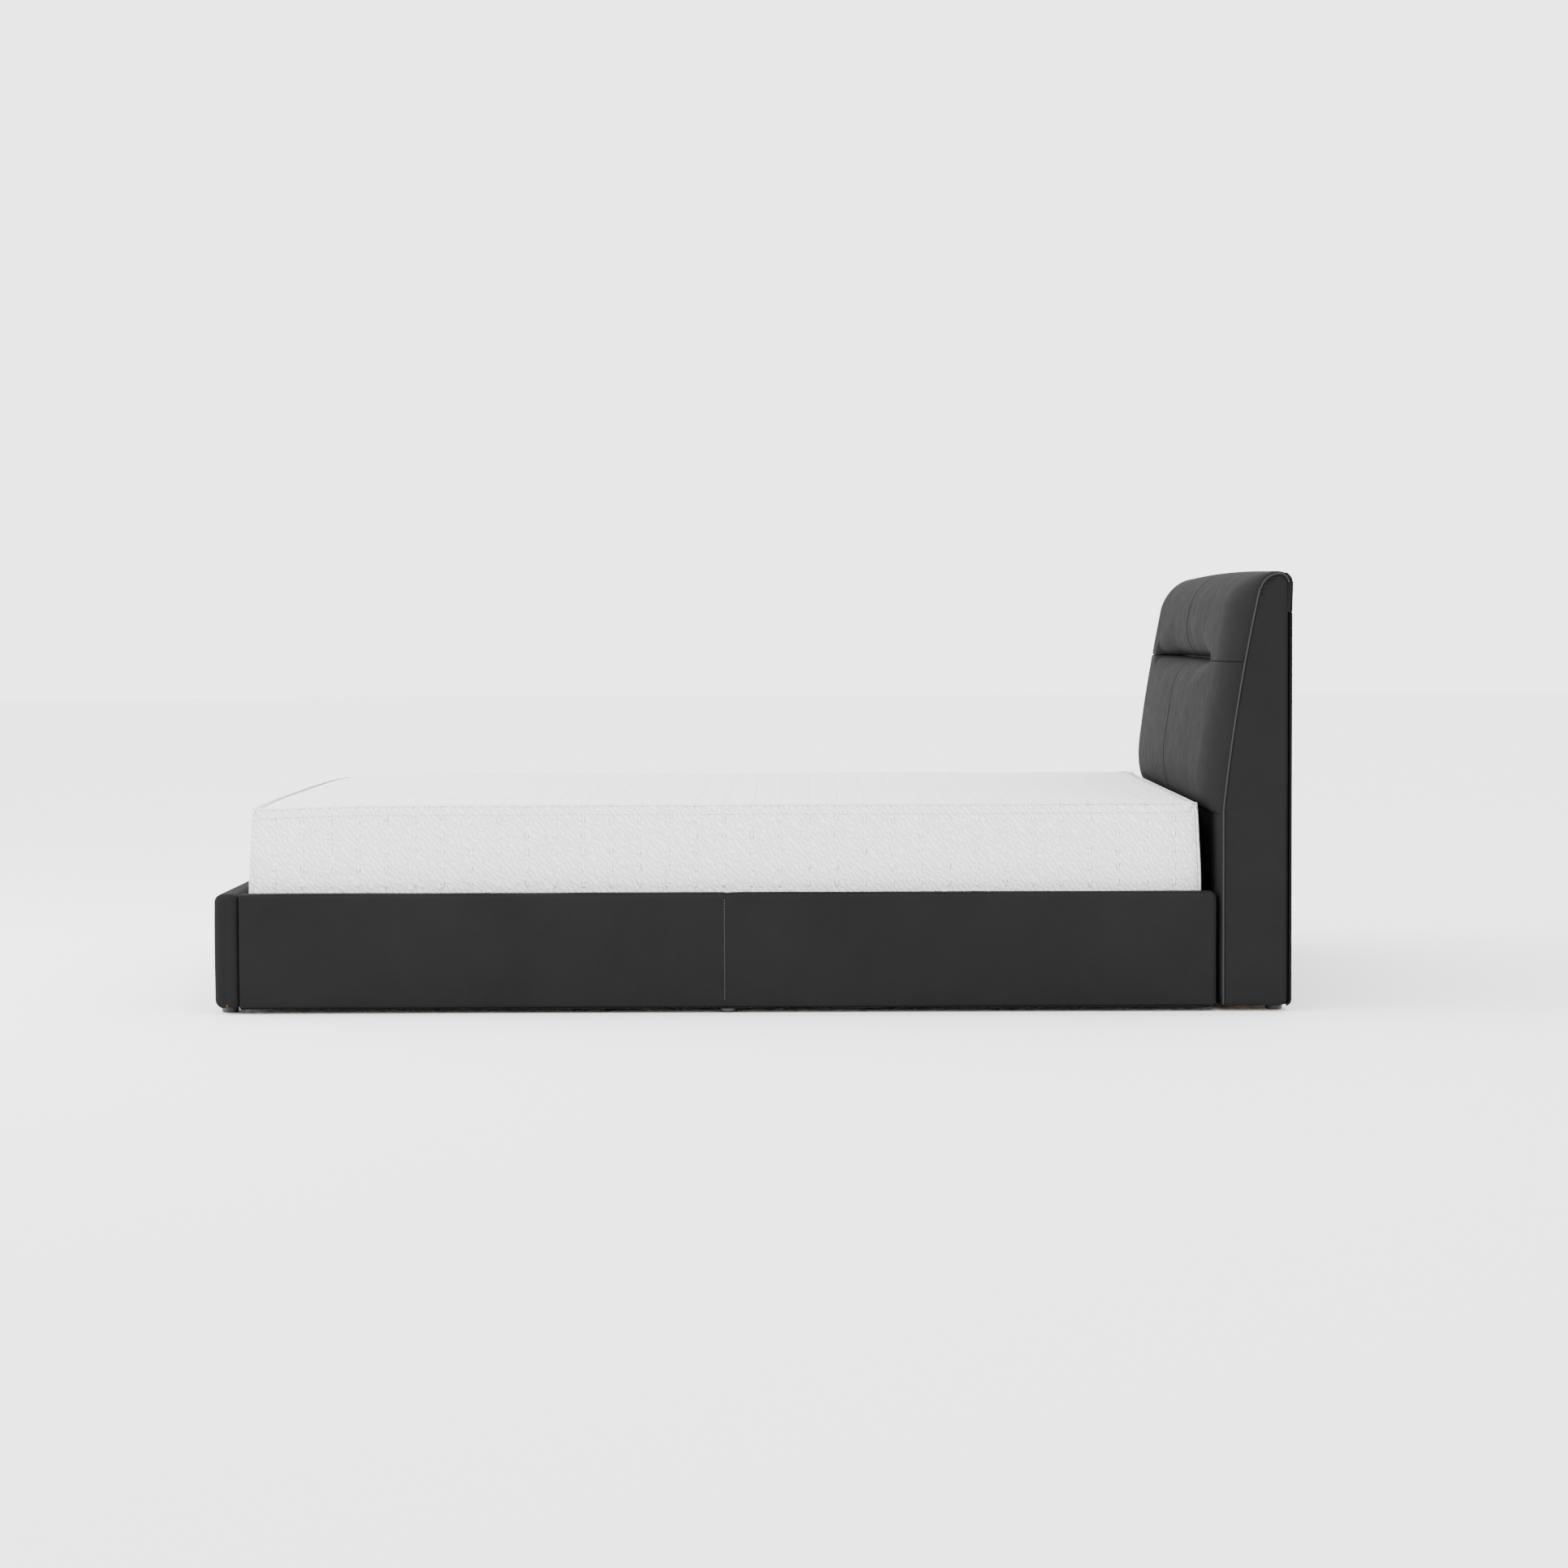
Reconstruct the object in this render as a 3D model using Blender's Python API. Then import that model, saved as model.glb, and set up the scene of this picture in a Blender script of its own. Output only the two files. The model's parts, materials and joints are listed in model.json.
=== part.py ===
"""Upholstered low platform bed with a leaning, two-cushion headboard and a foam mattress.

Metres, +Z up, the floor is Z = 0. +X runs from the footboard to the headboard, and the origin is
on the floor under the middle of the bed. Run with: blender --background --python part.py
"""

import math

import bmesh
import bpy

# Mattress and the well that it lies in
MATTRESS_LENGTH = 2.032
MATTRESS_WIDTH = 1.524
MATTRESS_HEIGHT = 0.254
MATTRESS_CORNER_RADIUS = 0.045
MATTRESS_EDGE_RADIUS = 0.018
COVER_THICKNESS = 0.003
COVER_HEM = 0.060
FOOT_GAP = 0.015
HEAD_GAP = 0.028
SIDE_GAP = 0.008
MATTRESS_DROP = 0.068

# Base
BASE_CLEARANCE = 0.012
RAIL_HEIGHT = 0.2435
RAIL_THICKNESS = 0.050
FOOTBOARD_DEPTH = 0.053
PADDING_OUTSIDE = 0.017
PADDING_TOP = 0.0155
BOARD_THICKNESS = 0.020
LEATHER_UNDER = 0.0027
RAIL_EDGE_RADIUS = 0.013
BASE_CHAMFER = 0.004

# Headboard
HEADBOARD_DEPTH = 0.158
HEADBOARD_SIDE_HEIGHT = 0.917
TOP_DEPTH = 0.0627
SEAM_SETBACK = 0.0135
LEAN_START_SHARE = 0.655
SHOULDER_DROP = 0.0333
BACK_CORNER_RADIUS = 0.019
BASE_CORNER_RADIUS = 0.025
BACK_STEP = 0.004
CURL_DROP = 0.013
CURL_START = 0.015
BACK_ARC_SPARE = 0.001
TUCK_HEIGHT = 0.742
CUSHION_DEPTH = 0.049
CUSHION_RISE = 0.130
CUSHION_SHOULDER_DROP = 0.080
CUSHION_TOP_RISE = 0.002
CROWN_FRONT = 0.007
CROWN_TOP = 0.0065
FLANK_WIDTH = 0.170
WRAP_INSET = 0.0075
FRONT_BOARD_THICKNESS = 0.012
GUSSET_THICKNESS = 0.0177
SIDE_PADDING = 0.014
BACK_PANEL_THICKNESS = 0.006
WELT_RADIUS = 0.0022
UPRIGHT_WIDTH = 0.045
UPRIGHT_DEPTH = 0.050
BOTTOM_RAIL_DEPTH = 0.045
BOTTOM_RAIL_HEIGHT = 0.100
MIDDLE_RAIL_HEIGHT = 0.070
TOP_RAIL_HEIGHT = 0.040

# Slats, ledgers and the middle support
SLAT_COUNT = 12
SLAT_WIDTH = 0.070
SLAT_THICKNESS = 0.018
SLAT_END_GAP = 0.002
LEDGER_END_GAP = 0.002
SLAT_FIRST_GAP = 0.045
LEDGER_WIDTH = 0.036
LEDGER_HEIGHT = 0.040
BEAM_WIDTH = 0.045
BEAM_DEPTH = 0.060
HANGER_STEEL = 0.003
HANGER_LENGTH = 0.040
LEG_SECTION = 0.045
LEG_STATIONS = (-0.36, 0.36)
LEG_FLOOR_GAP = 0.018
LEG_BORE_ROOF = 0.015
STUD_RADIUS = 0.004
STUD_CLEARANCE = 0.0006
FOOT_RADIUS = 0.020
FOOT_HEIGHT = 0.008
FOOT_CHAMFER = 0.002
FOOT_TAPER = 0.003
STUD_END_SPACE = 0.003

# Corner joints and glides
BRACKET_STEEL = 0.004
BRACKET_LEG = 0.050
BRACKET_MARGIN = 0.008
BOLT_RADIUS = 0.004
BOLT_HEAD_RADIUS = 0.0075
BOLT_HEAD_HEIGHT = 0.0055
BOLT_BITE = 0.028
FOOT_BOLT_BITE = 0.014
HOLE_CLEARANCE = 0.0006
HOLE_OVERSHOOT = 0.010
BOLT_TIP_SPACE = 0.004
GLIDE_RADIUS = 0.018
GLIDE_CHAMFER = 0.002

# Touching pieces keep this gap
GAP = 0.0003

# How finely the headboard's curves are cut into steps
LEAN_STEPS = 10
UPPER_STEPS = 6
TOP_STEPS = 8
CROWN_STEPS = 11
WELT_STEPS = 13

# Where the sizes put everything
WELL_LENGTH = FOOT_GAP + MATTRESS_LENGTH + HEAD_GAP
LENGTH = FOOTBOARD_DEPTH + WELL_LENGTH + HEADBOARD_DEPTH
SIDE_Y = MATTRESS_WIDTH / 2 + SIDE_GAP + RAIL_THICKNESS
FOOT_END_X = -LENGTH / 2
WELL_FOOT_X = FOOT_END_X + FOOTBOARD_DEPTH
WELL_HEAD_X = WELL_FOOT_X + WELL_LENGTH
HEAD_END_X = LENGTH / 2
BASE_Z = BASE_CLEARANCE
RAIL_TOP_Z = BASE_Z + RAIL_HEIGHT
SLAT_TOP_Z = RAIL_TOP_Z - MATTRESS_DROP
SLAT_BOTTOM_Z = SLAT_TOP_Z - SLAT_THICKNESS
LEDGER_BOTTOM_Z = SLAT_BOTTOM_Z - GAP - LEDGER_HEIGHT
BEAM_BOTTOM_Z = SLAT_BOTTOM_Z - GAP - BEAM_DEPTH
MATTRESS_BOTTOM_Z = SLAT_TOP_Z + GAP
MATTRESS_TOP_Z = MATTRESS_BOTTOM_Z + MATTRESS_HEIGHT
BOARD_BOTTOM_Z = BASE_Z + LEATHER_UNDER + GAP
BOARD_TOP_Z = RAIL_TOP_Z - PADDING_TOP - GAP
RAIL_BOARD_OUTER_Y = SIDE_Y - PADDING_OUTSIDE - GAP
RAIL_BOARD_INNER_Y = RAIL_BOARD_OUTER_Y - BOARD_THICKNESS
RAIL_INNER_Y = SIDE_Y - RAIL_THICKNESS

# The headboard's side seam, from the base to the top
SIDE_TOP_Z = BASE_Z + HEADBOARD_SIDE_HEIGHT
BACK_X = HEAD_END_X - BACK_PANEL_THICKNESS - GAP
SEAM_BASE_X = WELL_HEAD_X + SEAM_SETBACK
SEAM_SHOULDER_X = BACK_X - TOP_DEPTH
LEAN_BASE_Z = MATTRESS_TOP_Z - CURL_DROP
LEAN_TOP_Z = SIDE_TOP_Z - SHOULDER_DROP
CREST_TOP_Z = SIDE_TOP_Z + CUSHION_TOP_RISE - CUSHION_SHOULDER_DROP
TUCK_Z = TUCK_HEIGHT
PANEL_Y = SIDE_Y - SIDE_PADDING
GUSSET_INNER_Y = PANEL_Y - GAP - GUSSET_THICKNESS
CUSHION_END_Y = SIDE_Y - 2 * WELT_RADIUS - 3 * GAP
BRACKET_Y = RAIL_BOARD_INNER_Y - GAP
BRACKET_BOTTOM_Z = BOARD_BOTTOM_Z + BRACKET_MARGIN
BRACKET_TOP_Z = LEDGER_BOTTOM_Z - BRACKET_MARGIN
BOLT_Y = BRACKET_Y - BRACKET_STEEL - (BRACKET_LEG - BRACKET_STEEL) / 2
BOLT_Z = (BRACKET_BOTTOM_Z + BRACKET_TOP_Z) / 2

# Colour, roughness and metallic value of each material
FINISHES = {
    "leather": ((0.032, 0.033, 0.036), 0.5, 0.0),
    "backing": ((0.006, 0.006, 0.007), 0.9, 0.0),
    "plywood": ((0.55, 0.40, 0.24), 0.6, 0.0),
    "timber": ((0.60, 0.44, 0.27), 0.6, 0.0),
    "steel": ((0.03, 0.03, 0.03), 0.45, 0.6),
    "zinc": ((0.60, 0.61, 0.63), 0.35, 1.0),
    "nylon": ((0.02, 0.02, 0.02), 0.5, 0.0),
    "foam": ((0.80, 0.78, 0.70), 0.9, 0.0),
    "knit": ((0.82, 0.82, 0.82), 0.9, 0.0),
}


def clear_scene():
    for thing in list(bpy.data.objects):
        bpy.data.objects.remove(thing, do_unlink=True)


def new_material(name, finish):
    colour, roughness, metallic = FINISHES[finish]
    material = bpy.data.materials.new(name + "_" + finish)
    material.use_nodes = True
    shader = material.node_tree.nodes["Principled BSDF"]
    shader.inputs["Base Color"].default_value = (*colour, 1.0)
    shader.inputs["Roughness"].default_value = roughness
    shader.inputs["Metallic"].default_value = metallic
    return material


def add_object(name, data, finish, location=(0.0, 0.0, 0.0)):
    data.materials.append(new_material(name, finish))
    thing = bpy.data.objects.new(name, data)
    thing.location = location
    bpy.context.scene.collection.objects.link(thing)
    return thing


def loft(name, rings, finish, smooth=False, location=(0.0, 0.0, 0.0)):
    """One closed body through rings of equal length, with its first and last ring filled."""
    mesh = bpy.data.meshes.new(name)
    bm = bmesh.new()
    loops = [[bm.verts.new(point) for point in ring] for ring in rings]
    count = len(rings[0])
    for low, high in zip(loops, loops[1:]):
        for i in range(count):
            j = (i + 1) % count
            bm.faces.new((low[i], low[j], high[j], high[i]))
    bm.faces.new(list(reversed(loops[0])))
    bm.faces.new(loops[-1])
    bmesh.ops.recalc_face_normals(bm, faces=bm.faces)
    bm.to_mesh(mesh)
    bm.free()
    if smooth:
        mesh.shade_smooth()
        mesh.set_sharp_from_angle(angle=math.radians(35))
    return add_object(name, mesh, finish, location)


def box(name, low, high, finish):
    corners = ((0, 0), (1, 0), (1, 1), (0, 1))
    rings = []
    for z in (low[2], high[2]):
        rings.append([((low[0], high[0])[i], (low[1], high[1])[j], z) for i, j in corners])
    return loft(name, rings, finish)


def extrude_y(name, outline, y_from, y_to, finish):
    """A piece of constant X-Z outline between two Y stations."""
    return loft(name, [[(x, y, z) for x, z in outline] for y in (y_from, y_to)], finish)


def extrude_x(name, outline, x_from, x_to, finish):
    """A piece of constant Y-Z outline between two X stations."""
    return loft(name, [[(x, y, z) for y, z in outline] for x in (x_from, x_to)], finish)


def turned(name, profile, sides, finish, location=(0.0, 0.0, 0.0), axis="Z"):
    """A round piece from (radius, height) pairs, lowest first, along +Z or +X."""
    rings = []
    for radius, height in profile:
        ring = []
        for i in range(sides):
            angle = 2 * math.pi * (i + 0.5) / sides
            across, up = radius * math.cos(angle), radius * math.sin(angle)
            ring.append((across, up, height) if axis == "Z" else (height, across, up))
        rings.append(ring)
    return loft(name, rings, finish, smooth=True, location=location)


def cut(target, cutters):
    """Cuts hidden wire cutters out of a piece."""
    for cutter in cutters:
        cutter.hide_render = True
        cutter.display_type = "WIRE"
        boolean = target.modifiers.new(cutter.name, "BOOLEAN")
        boolean.operation = "DIFFERENCE"
        boolean.solver = "EXACT"
        boolean.object = cutter


def bolt_hole(name, x_from, x_to, y):
    """A cutter for one bolt's hole along X."""
    radius = BOLT_RADIUS + HOLE_CLEARANCE
    return turned(name, [(radius, x_from), (radius, x_to)], 16, "steel", (0.0, y, BOLT_Z), axis="X")


def bolt_holes(name, x_from, x_to):
    """The same hole at the right and left bolt."""
    return [bolt_hole(f"{name}_{s}", x_from, x_to, s * BOLT_Y) for s in (-1, 1)]


def arc(centre, radius, angle_from, angle_to, steps):
    """Points (horizontal, vertical) from one angle to another, in degrees."""
    points = []
    for i in range(steps + 1):
        angle = math.radians(angle_from + (angle_to - angle_from) * i / steps)
        points.append((centre[0] + radius * math.cos(angle), centre[1] + radius * math.sin(angle)))
    return points


# ---- The headboard's shape ----


def lean_slope(z):
    """Run of the side seam per unit of height, at height z."""
    rise = LEAN_TOP_Z - LEAN_BASE_Z
    share = min(max((z - LEAN_BASE_Z) / rise, 0.0), 1.0)
    run = SEAM_SHOULDER_X - SEAM_BASE_X
    if z <= LEAN_BASE_Z:
        return 0.0
    return run / rise * (LEAN_START_SHARE + 2 * (1 - LEAN_START_SHARE) * share)


def seam_x(z):
    """X of the side seam: upright behind the mattress, then leaning back ever more."""
    share = max((z - LEAN_BASE_Z) / (LEAN_TOP_Z - LEAN_BASE_Z), 0.0)
    run = SEAM_SHOULDER_X - SEAM_BASE_X
    return SEAM_BASE_X + run * (LEAN_START_SHARE * share + (1 - LEAN_START_SHARE) * share**2)


def smooth_step(value):
    value = min(max(value, 0.0), 1.0)
    return value * value * (3 - 2 * value)


def crest_x(z):
    """X of the front cushions' face beside the flank, which curls back at the mattress top."""
    deep = smooth_step((z - LEAN_BASE_Z + CURL_START) / CUSHION_RISE)
    return seam_x(z) - SEAM_SETBACK - (CUSHION_DEPTH - SEAM_SETBACK) * deep


def heights(z_from, z_to, steps):
    return [z_from + (z_to - z_from) * i / steps for i in range(steps + 1)]


def over_top(x, z, slope, drop, inset, steps):
    """From the shoulder point (x, z), round the front-top corner, along the top and down the back."""
    lean = math.atan(slope)
    radius = drop / (1 - math.sin(lean))
    front = (x + radius * math.cos(lean), z - radius * math.sin(lean))
    lean_degrees = math.degrees(lean)
    back_radius = min(BACK_CORNER_RADIUS, BACK_X - front[0] - BACK_ARC_SPARE)
    back = (BACK_X - back_radius, z + drop - back_radius)
    points = arc(front, radius - inset, 180 - lean_degrees, 90, steps)
    return points + arc(back, back_radius - inset, 90, 0, steps // 2)


def seam_line(inset, z_from, z_to, steps):
    """The side seam's leaning part, moved back by inset and ending level at both heights."""
    points = []
    for z in heights(z_from, z_to, steps):
        lean = math.atan(lean_slope(z))
        level = min(max(z - inset * math.sin(lean), z_from), z_to)
        points.append((seam_x(z) + inset * math.cos(lean), level))
    return points


def seam_top(inset):
    slope = lean_slope(LEAN_TOP_Z)
    return over_top(SEAM_SHOULDER_X, LEAN_TOP_Z, slope, SHOULDER_DROP, inset, TOP_STEPS)


def crest_top():
    slope = lean_slope(CREST_TOP_Z)
    x = crest_x(CREST_TOP_Z)
    return over_top(x, CREST_TOP_Z, slope, CUSHION_SHOULDER_DROP, 0.0, TOP_STEPS)


def side_outline(inset, bottom_z, back_inset):
    """Closed X-Z outline of the headboard's side, moved in by inset at the front and top."""
    points = [(SEAM_BASE_X + inset, bottom_z)]
    points += seam_line(inset, LEAN_BASE_Z, LEAN_TOP_Z, LEAN_STEPS)
    points += seam_top(inset)
    points += [(BACK_X - back_inset, points[-1][1] - BACK_STEP)]
    corner = (BACK_X - back_inset - BASE_CORNER_RADIUS, bottom_z + BASE_CORNER_RADIUS)
    return points + arc(corner, BASE_CORNER_RADIUS, 0, -90, 5)


def inner_inset(y):
    """Behind the front padding lie the board and gusset, and outside them the side padding."""
    return WRAP_INSET if abs(y) < PANEL_Y - GAP else WELT_RADIUS - GAP


def flank(y):
    """Share of the cushion's full depth at station y: 1 at the middle, falling round the flank."""
    reach = max(abs(y) - (SIDE_Y - FLANK_WIDTH), 0.0) / FLANK_WIDTH
    return math.sqrt(1 - reach**2)


def crown(y):
    return 1 - min(abs(y) / (SIDE_Y - FLANK_WIDTH), 1.0) ** 2


def front_stations():
    half = [0.0, 0.2, 0.4, 0.6, 0.8, 1.0]
    flat = [share * (SIDE_Y - FLANK_WIDTH) for share in half]
    round_part = [SIDE_Y - FLANK_WIDTH * share for share in (0.8, 0.6, 0.4, 0.2)]
    ends = [PANEL_Y - 2 * GAP, PANEL_Y, CUSHION_END_Y]
    outward = flat + round_part + ends
    return [-y for y in reversed(outward[1:])] + outward


def front_padding(name, z_from, z_to, steps, wraps_top):
    """A cushion on the leaning front, lofted across the bed, the upper one wrapping over the top."""
    rings = []
    seam_end = LEAN_TOP_Z if wraps_top else z_to
    for y in front_stations():
        seam = seam_line(-WELT_RADIUS, z_from, seam_end, steps)
        crest = [(crest_x(z), z) for z in heights(z_from, z_to, steps)]
        inner = seam_line(inner_inset(y), z_from, seam_end, steps)
        if wraps_top:
            seam += seam_top(-WELT_RADIUS)[1:]
            crest += crest_top()[1:]
            inner += seam_top(inner_inset(y))[1:]
            inner = [(min(x, BACK_X - GAP), z) for x, z in inner]
        share, bulge = flank(y), crown(y)
        outer = []
        for i, ((sx, sz), (cx, cz)) in enumerate(zip(seam, crest)):
            x, z = sx + (cx - sx) * share, sz + (cz - sz) * share
            if i <= steps:
                x -= CROWN_FRONT * bulge * smooth_step((cz - LEAN_BASE_Z) / CUSHION_RISE)
            else:
                turn = min((i - steps) / TOP_STEPS, 1.0)
                x -= CROWN_FRONT * bulge * (1 - turn)
                z += CROWN_TOP * bulge * turn if i < steps + CROWN_STEPS else 0.0
            outer.append((min(x, BACK_X), z))
        rings.append([(x, y, z) for x, z in outer + list(reversed(inner))])
    return loft(name, rings, "leather", smooth=True)


def make_front_cushions():
    front_padding("headboard_lower_cushion", LEAN_BASE_Z + GAP, TUCK_Z - GAP, LEAN_STEPS, False)
    front_padding("headboard_upper_cushion", TUCK_Z + GAP, CREST_TOP_Z, UPPER_STEPS, True)


def make_apron():
    """The thin padding that carries on below the lower cushion, down behind the mattress."""
    rings = []
    for y in (-CUSHION_END_Y, -PANEL_Y, -PANEL_Y + 2 * GAP, PANEL_Y - 2 * GAP, PANEL_Y, CUSHION_END_Y):
        back = SEAM_BASE_X + inner_inset(y)
        top = LEAN_BASE_Z - GAP
        ring = [(WELL_HEAD_X, BASE_Z), (WELL_HEAD_X, top), (back, top), (back, BASE_Z)]
        rings.append([(x, y, z) for x, z in ring])
    apron = loft("headboard_apron", rings, "leather")
    cut(apron, bolt_holes("apron_hole", WELL_HEAD_X - HOLE_OVERSHOOT, SEAM_BASE_X + 2 * HOLE_OVERSHOOT))


def upright_outline(upright_x, thick, top):
    """X-Z outline of an upright, its front sawn to the board's lean where they would meet."""
    points = [(upright_x, BASE_Z), (BACK_X, BASE_Z), (BACK_X, top)]
    for z in heights(top, LEAN_BASE_Z, LEAN_STEPS):
        behind_board = seam_x(z) + thick / math.cos(math.atan(lean_slope(z))) + 2 * GAP
        points.append((max(upright_x, behind_board), z))
    return points


def make_headboard_frame():
    board_face = WRAP_INSET + GAP
    front = [(SEAM_BASE_X + board_face, BOARD_BOTTOM_Z)]
    front += seam_line(board_face, LEAN_BASE_Z, CREST_TOP_Z, LEAN_STEPS)
    thick = board_face + FRONT_BOARD_THICKNESS
    rear = [(SEAM_BASE_X + thick, BOARD_BOTTOM_Z)]
    rear += seam_line(thick, LEAN_BASE_Z, CREST_TOP_Z, LEAN_STEPS)
    edge = GUSSET_INNER_Y - GAP
    board = extrude_y("headboard_front_board", front + list(reversed(rear)), -edge, edge, "plywood")
    cut(board, bolt_holes("board_hole", SEAM_BASE_X, SEAM_BASE_X + thick + HOLE_OVERSHOOT))

    rail_x = SEAM_BASE_X + thick + GAP
    rail_z = BOLT_Z - BOTTOM_RAIL_HEIGHT / 2
    rail_end = edge - UPRIGHT_WIDTH - GAP
    bottom = box(
        "headboard_bottom_rail",
        (rail_x, -rail_end, max(rail_z, BOARD_BOTTOM_Z)),
        (rail_x + BOTTOM_RAIL_DEPTH, rail_end, BOLT_Z + BOTTOM_RAIL_HEIGHT / 2),
        "timber",
    )
    cut(bottom, bolt_holes("rail_hole", rail_x - HOLE_OVERSHOOT, rail_x + BOLT_BITE + BOLT_TIP_SPACE))

    upright_x = BACK_X - UPRIGHT_DEPTH
    steepest = math.atan(lean_slope(LEAN_TOP_Z))
    middle_front = seam_x(TUCK_Z + MIDDLE_RAIL_HEIGHT / 2) + thick / math.cos(steepest)
    box(
        "headboard_middle_rail",
        (middle_front + GAP, -edge, TUCK_Z - MIDDLE_RAIL_HEIGHT / 2),
        (upright_x - GAP, edge, TUCK_Z + MIDDLE_RAIL_HEIGHT / 2),
        "timber",
    )
    top_z = SIDE_TOP_Z - WRAP_INSET - GAP - BACK_CORNER_RADIUS
    box(
        "headboard_top_rail",
        (upright_x, -edge, top_z - TOP_RAIL_HEIGHT),
        (BACK_X - WRAP_INSET - GAP, edge, top_z),
        "timber",
    )
    outline = upright_outline(upright_x, thick, top_z - TOP_RAIL_HEIGHT - GAP)
    for side, s in (("right", -1), ("left", 1)):
        inner, outer = sorted((s * (edge - UPRIGHT_WIDTH), s * edge))
        extrude_y(f"headboard_upright_{side}", outline, inner, outer, "timber")


def make_headboard_sides():
    for side, s in (("right", -1), ("left", 1)):
        gusset = side_outline(WRAP_INSET + GAP, BASE_Z, WRAP_INSET + GAP)
        extrude_y(
            f"headboard_gusset_{side}",
            gusset,
            s * GUSSET_INNER_Y,
            s * (PANEL_Y - GAP),
            "plywood",
        )
        cover = side_outline(WELT_RADIUS + GAP, BASE_Z, 0.0)
        extrude_y(f"headboard_side_cover_{side}", cover, s * PANEL_Y, s * SIDE_Y, "leather")


def make_back_panel():
    low = BASE_Z + BASE_CORNER_RADIUS
    high = SIDE_TOP_Z - BACK_CORNER_RADIUS - GAP
    box("headboard_back_panel", (BACK_X + GAP, -SIDE_Y, low), (HEAD_END_X, SIDE_Y, high), "backing")


def make_welts():
    """Piping sewn into the seam between the front padding and each side cover."""
    for side, s in (("right", -1), ("left", 1)):
        line = [(SEAM_BASE_X, BASE_Z + WELT_RADIUS)]
        line += seam_line(0.0, LEAN_BASE_Z, LEAN_TOP_Z, LEAN_STEPS) + seam_top(0.0)[1:WELT_STEPS]
        curve = bpy.data.curves.new(f"headboard_welt_{side}", "CURVE")
        curve.dimensions = "3D"
        curve.bevel_depth = WELT_RADIUS
        curve.bevel_resolution = 2
        curve.use_fill_caps = True
        spline = curve.splines.new("POLY")
        spline.points.add(len(line) - 1)
        for point, (x, z) in zip(spline.points, line):
            point.co = (x, s * (SIDE_Y - WELT_RADIUS), z, 1.0)
        add_object(curve.name, curve, "leather")


# ---- The base ----


def rail_cover_outline():
    """Y-Z section of a side rail's padding, hooked over the board and under it."""
    r = RAIL_EDGE_RADIUS
    board_out = RAIL_BOARD_OUTER_Y + GAP
    board_in = RAIL_BOARD_INNER_Y - GAP
    inner_hem_z = SLAT_TOP_Z + 2 * GAP
    points = [(board_in + GAP, BASE_Z), (SIDE_Y - BASE_CHAMFER, BASE_Z), (SIDE_Y, BASE_Z + BASE_CHAMFER)]
    points += arc((SIDE_Y - r, RAIL_TOP_Z - r), r, 0, 90, 5)
    points += arc((RAIL_INNER_Y + r, RAIL_TOP_Z - r), r, 90, 180, 5)
    points += [(RAIL_INNER_Y, inner_hem_z), (board_in, inner_hem_z), (board_in, BOARD_TOP_Z + GAP)]
    points += [(board_out, BOARD_TOP_Z + GAP), (board_out, BOARD_BOTTOM_Z - GAP)]
    return points + [(board_in + GAP, BOARD_BOTTOM_Z - GAP)]


def make_side_rails():
    foot, head = WELL_FOOT_X + GAP, WELL_HEAD_X - GAP
    for side, s in (("right", -1), ("left", 1)):
        section = [(s * y, z) for y, z in rail_cover_outline()]
        extrude_x(f"side_rail_cover_{side}", section, foot, head, "leather")
        board_y = sorted((s * RAIL_BOARD_INNER_Y, s * RAIL_BOARD_OUTER_Y))
        box(
            f"side_rail_board_{side}",
            (foot, board_y[0], BOARD_BOTTOM_Z),
            (head, board_y[1], BOARD_TOP_Z),
            "plywood",
        )
        ledger_y = sorted((s * (BRACKET_Y - LEDGER_WIDTH), s * BRACKET_Y))
        box(
            f"slat_ledger_{side}",
            (foot + LEDGER_END_GAP, ledger_y[0], LEDGER_BOTTOM_Z),
            (head - LEDGER_END_GAP, ledger_y[1], LEDGER_BOTTOM_Z + LEDGER_HEIGHT),
            "timber",
        )


def make_footboard():
    r = RAIL_EDGE_RADIUS
    x0, x1 = FOOT_END_X, WELL_FOOT_X
    outline = [(x0 + BASE_CHAMFER, BASE_Z), (x0, BASE_Z + BASE_CHAMFER)]
    outline += arc((x0 + r, RAIL_TOP_Z - r), r, 180, 90, 5)
    outline += arc((x1 - r, RAIL_TOP_Z - r), r, 90, 0, 5)
    outline += [(x1, BASE_Z)]
    cover = extrude_y("footboard_cover", outline, -SIDE_Y, SIDE_Y, "leather")
    board_x = x0 + PADDING_OUTSIDE
    board_end = SIDE_Y - PADDING_OUTSIDE
    pocket = box(
        "footboard_pocket",
        (board_x - GAP, -board_end - GAP, BASE_Z - HOLE_OVERSHOOT),
        (board_x + BOARD_THICKNESS + GAP, board_end + GAP, BOARD_TOP_Z + GAP),
        "leather",
    )
    board = box(
        "footboard_board",
        (board_x, -board_end, BOARD_BOTTOM_Z),
        (board_x + BOARD_THICKNESS, board_end, BOARD_TOP_Z),
        "plywood",
    )
    bite = board_x + BOARD_THICKNESS - FOOT_BOLT_BITE - BOLT_TIP_SPACE
    cut(cover, [pocket] + bolt_holes("cover_hole", board_x + BOARD_THICKNESS / 2, x1 + HOLE_OVERSHOOT))
    cut(board, bolt_holes("foot_hole", bite, x1))


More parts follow.
